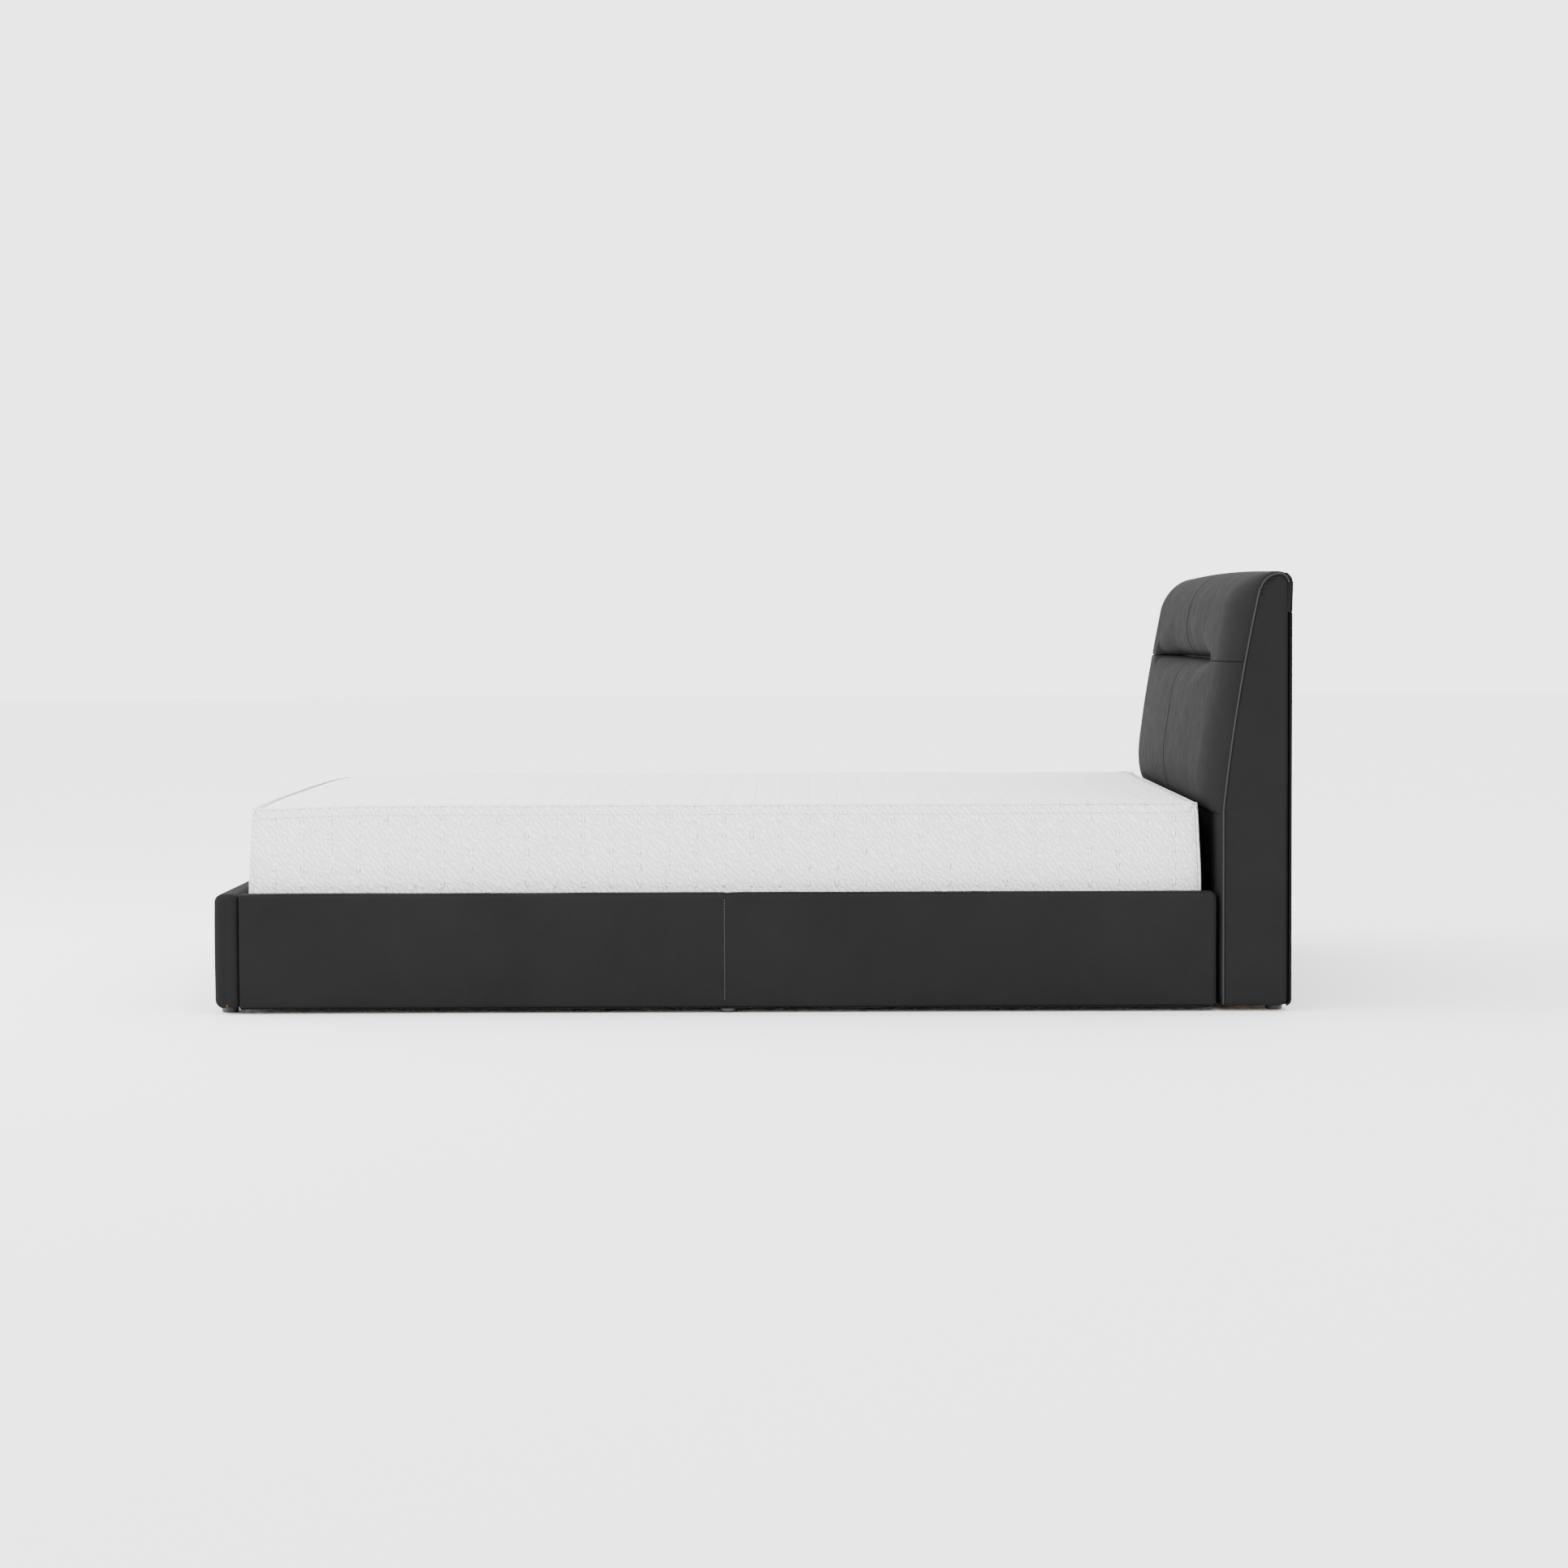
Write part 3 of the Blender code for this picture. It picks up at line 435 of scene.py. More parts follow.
# the same hide, rubbed shinier where it is stretched over a cord
weltMaterial = makeLeather("burnishedCowhide", leather["weltSpecular"], leather["weltRoughness"])
knitMaterial = makeKnit()
pineAlongX = makePine("pineLengthwise", 0)
pineAlongY = makePine("pineCrosswise", 1)
pineAlongZ = makePine("pineUpright", 2)
plywoodMaterial = makePlywood()
cambricMaterial = makeSpeckled("blackCambric", "#0b0b0c", "#161617", 1.6, 0.9, 0.0, 0.00008)
# a loose weave hardly shines
cambricMaterial.node_tree.nodes["Principled BSDF"].inputs["Specular IOR Level"].default_value = 0.08
foamMaterial = makeSpeckled("polyurethaneFoam", "#cfc8b4", "#e6e0cf", 3.0, 0.95, 0.0, 0.0006)
steelMaterial = makeSpeckled("blackPowderCoat", "#131314", "#1d1d1f", 1.5, 0.42, 0.0, 0.0001)
zincMaterial = makeSpeckled("zincPlate", "#9a9ca0", "#b4b6ba", 2.5, 0.32, 1.0, 0.00005)
nylonMaterial = makeSpeckled("mouldedNylon", "#101011", "#19191a", 2.0, 0.5, 0.0, 0.0001)
threadMaterial = makeSpeckled("waxedThread", "#3a3a3b", "#555556", 0.8, 0.55, 0.0, 0.0001)
print("materials made")


# The headboard's shape, from the frame's own pieces

apronLow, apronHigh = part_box("headboard_apron")
sideLow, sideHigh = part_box("headboard_side_cover_right")
panelLow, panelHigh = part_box("headboard_back_panel")

headboard = {
    "faceX": apronLow.x,
    "baseZ": sideLow.z,
    "sideY": -sideLow.y,
    "sideTopZ": sideHigh.z + 0.0025,
    "backX": sideHigh.x,
    "panelX": panelHigh.x,
    "seamSetback": 0.0135,
    "topDepth": 0.0627,
    "leanBaseZ": apronHigh.z,
    "leanStartShare": 0.655,
    "shoulderDrop": 0.0333,
    "backRadius": 0.021,
    "tailBulge": 0.006,
    "crestShoulderDrop": 0.080,
    "crestTaller": 0.0032,
    "topRise": 0.0013,
    "cushionDepth": 0.049,
    "curlStart": 0.010,
    "curlHeight": 0.115,
    "flankWidth": 0.170,
    "crownFront": 0.007,
    "crownTop": 0.0052,
    "tuckZ": 0.740,
    "tuckDepth": 0.056,
    "lipFullness": 0.80,
    "turnIn": 0.012,
    "tuckHalfWidth": 0.585,
    "tuckFade": 0.05,
    "tailZ": 0.845,
    "upperLip": 0.095,
    "lowerLip": 0.070,
    "seamGroove": 0.0022,
    "seamGrooveWidth": 0.0045,
    "leatherThickness": 0.003,
}
seamBaseX = headboard["faceX"] + headboard["seamSetback"]
seamShoulderX = headboard["backX"] - headboard["topDepth"]
leanTopZ = headboard["sideTopZ"] - headboard["shoulderDrop"]
crestTopZ = headboard["sideTopZ"] + headboard["topRise"] - headboard["crestShoulderDrop"]


def leanShare(z):
    return (z - headboard["leanBaseZ"]) / (leanTopZ - headboard["leanBaseZ"])


def seamX(z):
    share = max(leanShare(z), 0.0)
    start = headboard["leanStartShare"]
    return seamBaseX + (seamShoulderX - seamBaseX) * (start * share + (1 - start) * share ** 2)


def seamLean(z):
    # angle of the seam from the upright, in radians
    if z <= headboard["leanBaseZ"]:
        return 0.0
    start = headboard["leanStartShare"]
    run = (seamShoulderX - seamBaseX) / (leanTopZ - headboard["leanBaseZ"])
    return math.atan(run * (start + 2 * (1 - start) * min(leanShare(z), 1.0)))


def crestX(z):
    # the cushion curls under in a quarter round just above the mattress
    rise = min(max((z - headboard["leanBaseZ"] + headboard["curlStart"]) / headboard["curlHeight"], 0.0), 1.0)
    rise = math.sqrt(1 - (1 - rise) ** 2)
    extra = headboard["cushionDepth"] - headboard["seamSetback"]
    return seamX(z) - headboard["seamSetback"] - extra * rise


def overTop(x, z, drop, outset, bulge=0.0, taller=0.0):
    # round the front-top corner, along the top and round the back corner, which can swell out behind
    lean = seamLean(z)
    radius = drop / (1 - math.sin(lean))
    front = (x + radius * math.cos(lean), z - radius * math.sin(lean))
    backRadius = headboard["backRadius"]
    back = (headboard["backX"] - backRadius, z + drop - backRadius)
    points = []
    for px, pz in arcPoints(front, radius + outset, 180 - math.degrees(lean), 90, 24):
        rise = (pz - z) / (front[1] + radius + outset - z)
        points.append((px, pz + taller * rise))
    back = (back[0], back[1] + taller)
    for i in range(15):
        turn = math.radians(90 - 90 * i / 14)
        reach = backRadius + outset
        points.append((back[0] + (reach + bulge * i / 14) * math.cos(turn), back[1] + reach * math.sin(turn)))
    return points


def acrossStations():
    # (y, share of the cushion's depth, fold) from side to side; past each seam the leather folds in
    crestY = headboard["sideY"] - headboard["flankWidth"]
    fine = [0.0, 0.0012, 0.0026, 0.0042, 0.006, 0.0085, 0.0125, 0.018]
    half = [(y, 1.0, 0.0) for y in fine + evenly(fine[-1], crestY, 0.008)]
    for i in range(1, 27):
        angle = math.radians(90 * i / 26)
        edge = headboard["sideY"] - 0.0012
        half.append((crestY + (edge - crestY) * math.sin(angle), math.cos(angle), 0.0))
    half += [(edge - 0.0006, 0.0, 0.0016), (edge - 0.0022, 0.0, 0.0032), (edge - 0.0034, 0.0, 0.0100)]
    mirrored = [(-y, share, fold) for y, share, fold in reversed(half[1:])]
    return list(reversed(mirrored + half))


stations = acrossStations()


def foldedIn(seam, before, after, fold):
    # a point the fold's length inside the seam line, square to it
    dx, dz = after[0] - before[0], after[1] - before[1]
    length = max(math.hypot(dx, dz), 1e-9)
    return (seam[0] + fold * dz / length, seam[1] - fold * dx / length)


def seamDip(distance, width):
    # how far a sewn seam pulls the leather in, at a distance from it
    return math.exp(-(distance / width) ** 2)


def frontPoint(seam, crest, y, share, fromTuck, lip, topShare):
    # fromTuck is the way along the face from the tuck, and topShare how far the top has been turned
    x = seam[0] + (crest[0] - seam[0]) * share
    z = seam[1] + (crest[1] - seam[1]) * share
    crestY = headboard["sideY"] - headboard["flankWidth"]
    crown = 1 - min(abs(y) / crestY, 1.0) ** 2
    upFace = smoothStep((crest[1] - headboard["leanBaseZ"]) / headboard["curlHeight"])
    upperShare = smoothStep((crest[1] - headboard["tuckZ"]) / 0.05)
    x -= headboard["crownFront"] * (1 - 0.75 * upperShare) * crown * upFace * (1 - topShare)
    z += headboard["crownTop"] * crown * topShare
    # the tuck pulls both lips in over the middle and leaves a flat seam towards the sides
    fadeStart = headboard["tuckHalfWidth"] + headboard["tuckFade"] / 2
    pull = smoothStep((fadeStart - abs(y)) / headboard["tuckFade"])
    fuller = smoothStep((headboard["tuckHalfWidth"] - abs(y)) / 0.30)
    reach = lip * (0.10 + 0.40 * pull + 0.50 * pull * fuller)
    if fromTuck < reach:
        bend = 1 - fromTuck / reach
        deep = 0.0022 * (1 - pull) * share + headboard["lipFullness"] * reach * pull
        x += min(deep * (1 - math.sqrt(max(1 - bend ** 2, 0.0))), headboard["tuckDepth"])
    # the upright seam in the middle
    dip = headboard["seamGroove"] * seamDip(y, headboard["seamGrooveWidth"])
    x += dip * (1 - topShare)
    z -= dip * topShare
    # unevenness of the stuffing
    swell = 0.0013 * ripple(y, z, 3.0, 0.19) + 0.0004 * ripple(y, z, 9.0, 0.07)
    x += swell * share * (1 - topShare)
    return (x, y, z)


def makeLowerCushion():
    # it carries on down behind the mattress as thin padding
    base, lean, tuck = headboard["baseZ"], headboard["leanBaseZ"], headboard["tuckZ"]
    curlBase = lean - headboard["curlStart"]
    heights = [base] + evenly(base, curlBase - 0.02, 0.02) + evenly(curlBase - 0.02, curlBase - 0.002, 0.006)
    heights += evenly(curlBase - 0.002, curlBase + 0.012, 0.001)
    heights += evenly(curlBase + 0.012, lean + 0.13, 0.004)
    heights += evenly(lean + 0.13, tuck - 0.09, 0.008) + evenly(tuck - 0.09, tuck - 0.012, 0.003)
    heights += evenly(tuck - 0.012, tuck + 0.0010, 0.0010)

    def place(i, j):
        y, share, fold = stations[i]
        z = heights[j]
        seam = (seamX(z) - 0.002, z)
        if fold:
            lower, upper = (seamX(z - 0.004), z - 0.004), (seamX(z + 0.004), z + 0.004)
            x, z = foldedIn(seam, lower, upper, fold)
            return (x, y, min(z, tuck + 0.0010))
        x, y, z = frontPoint(seam, (crestX(z), z), y, share, max(tuck - z, 0.0), headboard["lowerLip"], 0.0)
        low = (heights[j] - base) / 0.006
        if low < 1:
            x += 0.004 * (1 - low)
        if j == len(heights) - 1:
            x += headboard["turnIn"] * min(share * 4, 1.0)
        return (x, y, z)

    thickness = headboard["leatherThickness"]
    piece = sewnSkin("headboardLowerCushion", len(stations), len(heights), place, thickness)
    finishPiece(piece, leatherMaterial, "charcoal_leather", "bed_frame",
                "headboard_lower_cushion", "headboard_apron")


def makeUpperCushion():
    # it wraps over the top and a little way down the back, where it lies flat under the backing cloth
    tuck = headboard["tuckZ"] + 0.0004
    seamLine = [(seamX(z) - 0.002, z) for z in [tuck] + evenly(tuck, leanTopZ, 0.004)]
    seamLine += overTop(seamShoulderX, leanTopZ, headboard["shoulderDrop"], 0.0015,
                        headboard["tailBulge"])[1:]
    crestLine = [(crestX(z), z) for z in [tuck] + evenly(tuck, crestTopZ, 0.004)]
    crestLine += overTop(crestX(crestTopZ), crestTopZ, headboard["crestShoulderDrop"], 0.0,
                         headboard["tailBulge"], headboard["crestTaller"])[1:]
    tailEnd = (panelHigh.x - 0.0006, headboard["tailZ"])
    tail = straight(seamLine[-1], tailEnd, 14) + [tailEnd]
    seamLine += tail
    crestLine += tail
    shares = [0.0] + [0.0012 * k / 0.40 for k in range(1, 9)]
    shares += [shares[-1] + (1 - shares[-1]) * k / 110 for k in range(1, 111)]
    seamEven, crestEven = respace(seamLine, 0.003), respace(crestLine, 0.003)
    crestLength = sum(math.dist(a, b) for a, b in zip(crestEven, crestEven[1:]))

    def along(points, share):
        index = share * (len(points) - 1)
        k = min(int(index), len(points) - 2)
        return tuple(a + (b - a) * (index - k) for a, b in zip(points[k], points[k + 1]))

    def place(i, j):
        y, share, fold = stations[i]
        seam, crest = along(seamEven, shares[j]), along(crestEven, shares[j])
        if fold:
            before = along(seamEven, max(shares[j] - 0.01, 0.0))
            after = along(seamEven, min(shares[j] + 0.01, 1.0))
            x, z = foldedIn(seam, before, after, fold)
            return (x, y, max(z, headboard["tuckZ"]) if j < 20 else z)
        topShare = smoothStep((crest[1] - crestTopZ) / (headboard["crestShoulderDrop"] * 0.95))
        if crest[0] > headboard["backX"] - 0.014:
            topShare *= max(1 - (crest[0] - headboard["backX"] + 0.014) / 0.014, 0.0)
        onBack = crest[0] > headboard["backX"] - 0.012 and crest[1] < headboard["sideTopZ"]
        point = frontPoint(seam, crest, y, share, shares[j] * crestLength, headboard["upperLip"], topShare)
        if j == 0:
            return (point[0] + headboard["turnIn"] * min(share * 4, 1.0), y, point[2])
        return (crest[0], y, crest[1]) if onBack else point

    thickness = headboard["leatherThickness"]
    piece = sewnSkin("headboardUpperCushion", len(stations), len(shares), place, thickness)
    finishPiece(piece, leatherMaterial, "charcoal_leather", "bed_frame", "headboard_upper_cushion")


makeLowerCushion()
makeUpperCushion()
print("headboard cushions sewn")


sideCover = {
    "topInset": 0.0075,
    "frontInset": 0.0022,
    "backRound": 0.013,
    "frontRound": 0.005,
    "baseCorner": 0.0125,
    "folds": (0.013, 0.007),
    "gatherDrops": (0.017, 0.024, 0.033, 0.044),
    "gatherSlopes": (0.15, 0.02, -0.12, -0.22),
    "gatherDepth": 0.0055,
    "gatherLength": 0.032,
    "sink": 0.0012,
    "hollow": 0.0010,
    "unevenness": 0.0009,
}
sideTop = headboard["sideTopZ"] - sideCover["topInset"]


def sideFrontX(z):
    # front edge of the side cover at height z, following the seam and its round top corner
    inset = sideCover["frontInset"]
    if z <= leanTopZ:
        return seamX(z) + inset
    lean = seamLean(leanTopZ)
    radius = headboard["shoulderDrop"] / (1 - math.sin(lean))
    centreX = seamShoulderX + radius * math.cos(lean)
    centreZ = leanTopZ - radius * math.sin(lean)
    inner = radius - inset - (sideCover["topInset"] - inset) * smoothStep((z - leanTopZ) / 0.020)
    return centreX - math.sqrt(max(inner ** 2 - (z - centreZ) ** 2, 0.0))


def sideBackX(z):
    # back edge, with its round top and bottom corners
    atTop = quarterRound(sideTop - z, headboard["backRadius"] - 0.004)
    atBase = quarterRound(z - headboard["baseZ"], sideCover["baseCorner"])
    return headboard["backX"] - max(atTop, atBase)


def gathers(x, z):
    # short creases that fan out from the curved top of the seam
    total = 0.0
    into = x - sideFrontX(z)
    for k, (drop, slope) in enumerate(zip(sideCover["gatherDrops"], sideCover["gatherSlopes"])):
        lift = z - (headboard["sideTopZ"] - drop) - slope * into
        share = into / (sideCover["gatherLength"] * (1.0 - 0.15 * k))
        if 0 <= share < 1:
            total += math.exp(-(lift / 0.0028) ** 2) * (1 - share) ** 1.3
    return total


def makeSideCover(side, sign):
    base = headboard["baseZ"]
    top = sideTop
    folds = sideCover["folds"]
    heights = [base] + evenly(base, base + 0.03, 0.003) + evenly(base + 0.03, 0.86, 0.012)
    heights += evenly(0.86, top - 0.012, 0.0016)
    heights += [top - 0.012 * (1 - math.sin(math.radians(9 * k))) for k in range(1, 11)]
    rows, columns, rollColumns = len(heights) + len(folds), 76, 14

    def place(i, j):
        z = heights[min(j, len(heights) - 1)]
        order = i if sign < 0 else columns - 1 - i
        front, back = sideFrontX(z), sideBackX(z)
        width = back - front
        roll = min(sideCover["backRound"], width * 0.45)
        flat = columns - rollColumns - len(folds)
        depth = 0.0
        if order < len(folds):
            x, depth = front, folds[order]
        elif order >= columns - rollColumns:
            # the last columns turn round the back edge
            angle = math.radians(90 * (order - columns + rollColumns + 1) / rollColumns)
            x = back - roll + roll * math.sin(angle)
            depth = roll * (1 - math.cos(angle))
        else:
            x = front + (width - roll) * ((order - len(folds)) / (flat - 1)) ** 1.3
        if j >= len(heights):
            depth = max(depth, folds[-1 - (j - len(heights))])
        near = (x - front) / sideCover["frontRound"]
        if near < 1 and order >= len(folds):
            depth += 0.0026 * (1 - near) ** 2
        low = (z - base) / 0.008
        if low < 1:
            depth += 0.006 * (1 - math.sqrt(max(1 - (1 - low) ** 2, 0.0)))
        high = (top - z) / 0.006
        if high < 1 and order >= len(folds):
            depth += 0.003 * (1 - max(high, 0.0)) ** 2
        across = min(max((x - front) / max(width, 1e-6), 0.0), 1.0)
        depth += sideCover["sink"] + sideCover["unevenness"] * ripple(x, z, sign * 2.0, 0.13)
        depth -= sideCover["hollow"] * math.sin(math.pi * across)
        depth += sideCover["gatherDepth"] * gathers(x, z)
        return (x, sign * (headboard["sideY"] - max(depth, 0.0)), z)

    piece = sewnSkin(f"headboardSideCover{side}", columns, rows, place, headboard["leatherThickness"])
    node = f"headboard_side_cover_{side.lower()}"
    finishPiece(piece, leatherMaterial, "charcoal_leather", "bed_frame", node)


makeSideCover("Right", -1)
makeSideCover("Left", 1)
print("headboard sides covered")


backCloth = {"corner": 0.014, "innerCorner": 0.006, "thickness": 0.0046, "looseness": 0.0007}


def backClothLine(corner):
    # from under the base round the bottom corner, up the back and in under the band's tail, as (x, z)
    base = headboard["baseZ"] - 0.0008
    outer = headboard["panelX"] - 0.0004
    line = []
    for i in range(13):
        turn = math.radians(-80 + 80 * i / 12)
        line.append((outer - corner * (1 - math.cos(turn)), base + corner * (1 + math.sin(turn))))
    tail = headboard["tailZ"]
    tucked = headboard["backX"] + 0.0036
    line += straight(line[-1], (outer, tail - 0.002), 60) + [(outer, tail - 0.002)]
    return line + [(tucked, tail + 0.001), (tucked, tail + 0.03), (tucked - 0.0016, panelHigh.z - 0.004)]


def makeBackCloth():
    # black cambric stretched over the back and turned under the base; square where the uprights stand
    rounded, square = backClothLine(backCloth["corner"]), backClothLine(backCloth["innerCorner"])
    halfWidth = headboard["sideY"] - 0.0006
    squareTo = -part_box("headboard_upright_right")[0].y + 0.003
    half = [squareTo - 0.01] + evenly(squareTo - 0.01, halfWidth, 0.003)
    ys = [-y for y in reversed(half)] + evenly(-half[0], half[0], 0.016)[:-1] + half

    def place(i, j):
        y = ys[i]
        turned = smoothStep((abs(y) - squareTo) / (halfWidth - squareTo))
        x, z = (a + (b - a) * turned for a, b in zip(square[j], rounded[j]))
        slack = smoothStep((halfWidth - abs(y)) / 0.08)
        if z > headboard["tailZ"]:
            y *= 1 - 0.010 / halfWidth
        return (x - backCloth["looseness"] * slack * (1 + ripple(y, z, 21.0, 0.24)), y, z)

    piece = sewnSkin("headboardBackCloth", len(ys), len(rounded), place, backCloth["thickness"])
    finishPiece(piece, cambricMaterial, "black_backing", "bed_frame", "headboard_back_panel")


makeBackCloth()
print("back cloth stretched")


# Side rails and footboard

rail = {
    "edgeRound": 0.014,
    "headRound": 0.014,
    "footRound": 0.005,
    "thickness": 0.0028,
    "bulge": 0.0016,
    "sink": 0.0008,
    "swell": 0.0012,
    "swellSize": 0.22,
    "pucker": 0.0004,
    "puckerSize": 0.06,
    "stitchGroove": 0.0006,
    "seamDip": 0.0016,
    "seamWidth": 0.006,
    "stitchOffset": 0.0062,
    "stitchPitch": 0.0058,
    "stitchLength": 0.0042,
    "stitchRadius": 0.00055,
    "stitchHeight": 0.0005,
}
railLow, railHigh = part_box("side_rail_cover_left")


def railSection(inset):
    # closed path round the rail's padding, as (outward y, z), from under the board, up, over and down inside
    inner, outer = railLow.y + inset, railHigh.y - inset
    base, top = railLow.z + inset * 0.4, railHigh.z - inset
    r = rail["edgeRound"]
    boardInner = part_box("side_rail_board_left")[0].y
    points = [(boardInner, base + 0.0006), (outer - 0.006, base)]
    points += arcPoints((outer - 0.006, base + 0.006), 0.006, -90, 0, 4)
    points += straight((outer, base + 0.006), (outer, top - r), 22)
    points += arcPoints((outer - r, top - r), r, 0, 90, 10)
    points += arcPoints((inner + r * 0.8, top - r * 0.8), r * 0.8, 90, 180, 8)
    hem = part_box("slat_01")[1].z + 0.0012
    return points + straight((inner, top - r * 0.8), (inner, hem), 5) + [(inner, hem)]


def railFace(x, z, sign, dip):
    # how far the outer face stands out from the padding's outline: crowned, uneven, pulled in at the seam
    middle = min(max((z - railLow.z) / (railHigh.z - railLow.z), 0.0), 1.0)
    soft = rail["swell"] * ripple(x, z, sign * 5.0, rail["swellSize"])
    soft += rail["pucker"] * ripple(x, z, sign * 8.0, rail["puckerSize"])
    return rail["bulge"] * (math.sin(math.pi * middle) - 1.0) + soft - rail["sink"] - dip


def makeRail(side, sign):
    low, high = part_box(f"side_rail_cover_{side.lower()}")
    seamAt = (low.x + high.x) / 2
    xs = [low.x + rail["footRound"] * (1 - math.cos(math.radians(15 * k))) for k in range(7)]
    nearSeam = [-0.03, -0.02, -0.014, -0.010, -0.0072, -0.005, -0.003, -0.0012, 0.0]
    nearSeam += [-d for d in reversed(nearSeam[:-1])]
    xs += evenly(xs[-1], seamAt - 0.03, 0.016)[:-1] + [seamAt + d for d in nearSeam]
    xs += evenly(seamAt + 0.03, high.x - rail["headRound"], 0.016)
    xs += [high.x - rail["headRound"] * (1 - math.sin(math.radians(9 * k))) for k in range(1, 11)]
    sections = {}

    def place(i, j):
        order = i if sign < 0 else len(xs) - 1 - i
        x = xs[order]
        inset = max(quarterRound(high.x - x, rail["headRound"]), quarterRound(x - low.x, rail["footRound"]))
        key = round(inset, 6)
        if key not in sections:
            sections[key] = railSection(inset)
        y, z = sections[key][j]
        dip = rail["seamDip"] * seamDip(x - seamAt, rail["seamWidth"])
        dip += rail["stitchGroove"] * seamDip(abs(x - seamAt) - rail["stitchOffset"], 0.0012)
        if y > railHigh.y - 0.006:
            y += railFace(x, z, sign, dip)
        elif z > high.z - 0.012:
            z += 0.0007 * ripple(x, y, sign * 3.0, 0.14) - 0.0007 - dip * 0.8
        return (x, sign * y, z)

    piece = sewnSkin(f"sideRailCover{side}", len(xs), len(railSection(0.0)), place, rail["thickness"])
    node = f"side_rail_cover_{side.lower()}"
    finishPiece(piece, leatherMaterial, "charcoal_leather", "bed_frame", node)


def makeRailStitches(side, sign):
    # one row of thread beside the joining seam
    low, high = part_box(f"side_rail_cover_{side.lower()}")
    x = (low.x + high.x) / 2 - rail["stitchOffset"]
    dip = rail["seamDip"] * seamDip(rail["stitchOffset"], rail["seamWidth"]) + rail["stitchGroove"]
    size = (rail["stitchRadius"], rail["stitchHeight"], rail["stitchLength"] / 2)
    deselectAll()
    stitches = []
    for z in evenly(low.z + 0.012, high.z - 0.016, rail["stitchPitch"]):
        y = sign * (railHigh.y + railFace(x, z, sign, dip) + 0.0002)
        bpy.ops.mesh.primitive_uv_sphere_add(segments=8, ring_count=6, radius=1.0,
                                             location=(x, y, z), scale=size)
        stitches.append(bpy.context.object)
    for stitch in stitches:
        stitch.select_set(True)
    bpy.ops.object.join()
    bpy.ops.object.transform_apply(location=True, rotation=True, scale=True)
    bpy.ops.object.shade_smooth()
    row = bpy.context.object
    row.name = f"railStitches{side}"
    row.data.name = row.name
    finishPiece(row, threadMaterial, "charcoal_leather", "bed_frame")


for side, sign in (("Right", -1), ("Left", 1)):
    makeRail(side, sign)
    makeRailStitches(side, sign)
print("side rails covered")


footboard = {
    "thickness": 0.0028,
    "edgeRound": 0.017,
    "endRound": 0.017,
    "baseRound": 0.018,
    "endSink": 0.0012,
    "bulge": 0.0012,
    "unevenness": 0.0009,
}


def footSection(inset):
    # path round the footboard, as (x, z), from under its outer side over the top to under its inner side
    low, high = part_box("footboard_cover")
    left, right, base, top = low.x + inset, high.x - inset, low.z + inset * 0.5, high.z - inset
    middle = (right - left) / 2
    r = max(footboard["edgeRound"] - inset * 0.6, 0.0) * min(middle / 0.0095, 1.0)
    r = min(r, middle * 0.96)
    innerLow = min(0.008, middle * 0.5)
    outerLow = min(footboard["baseRound"], middle * 0.9)
    points = [(left + max(outerLow, min(0.020, middle)), base + 0.0006)]
    points += arcPoints((left + outerLow, base + outerLow), outerLow, -90, -180, 8)
    points += straight((left, base + outerLow), (left, top - r), 22)
    points += arcPoints((left + r, top - r), r, 180, 90, 10)
    points += arcPoints((right - r, top - r), r, 90, 0, 10)
    points += straight((right, top - r), (right, base + innerLow), 22)
    points += arcPoints((right - innerLow, base + innerLow), innerLow, 0, -90, 4)
    return points + [(right - min(0.014, middle * 0.8), base + 0.0006)]


def makeFootboard():
    low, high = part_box("footboard_cover")
    r = footboard["endRound"]
    # each end turns through a quarter round and then closes flat, a little sunken, to the middle
    insets = [(high.y - r + r * math.sin(math.radians(9 * k)), r * (1 - math.cos(math.radians(9 * k))))
              for k in range(11)]
    closed = (high.x - low.x) / 2 - 0.00002
    insets += [(high.y - footboard["endSink"] * k / 5, r + (closed - r) * k / 5) for k in range(1, 6)]
    middle = [(y, 0.0) for y in evenly(-insets[0][0], insets[0][0], 0.016)[:-1]]
    ends = [(-y, inset) for y, inset in reversed(insets)] + middle + insets
    sections = {}

    def place(i, j):
        y, inset = ends[len(ends) - 1 - i]
        key = round(inset, 6)
        if key not in sections:
            sections[key] = footSection(inset)
        x, z = sections[key][j]
        middle = min(max((z - low.z) / (high.z - low.z), 0.0), 1.0)
        soft = footboard["unevenness"] * ripple(y, z, 11.0, 0.2)
        if x < low.x + 0.012 and abs(y) < high.y - 0.004:
            x += footboard["bulge"] * (1 - math.sin(math.pi * middle)) + soft
        return (x, y, z)

    piece = sewnSkin("footboardCover", len(ends), len(footSection(0.0)), place, footboard["thickness"])
    finishPiece(piece, leatherMaterial, "charcoal_leather", "bed_frame", "footboard_cover")


makeFootboard()
print("footboard covered")


# Mattress

mattress = {
    "cornerRound": 0.022,
    "topRound": 0.021,
    "bulge": 0.0035,
    "taper": 0.0060,
    "footDroop": 0.006,
    "droopReach": 0.16,
    "crown": 0.004,
    "wave": 0.0016,
    "earRise": 0.004,
    "earSize": 0.035,
    "creaseDepth": 0.0035,
    "endDraw": 0.005,
    "endDrawLength": 0.13,
    "pipingRadius": 0.0024,
}
mattressLow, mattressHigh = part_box("mattress_cover")
mattressCentre = (mattressLow + mattressHigh) / 2
mattressSize = mattressHigh - mattressLow


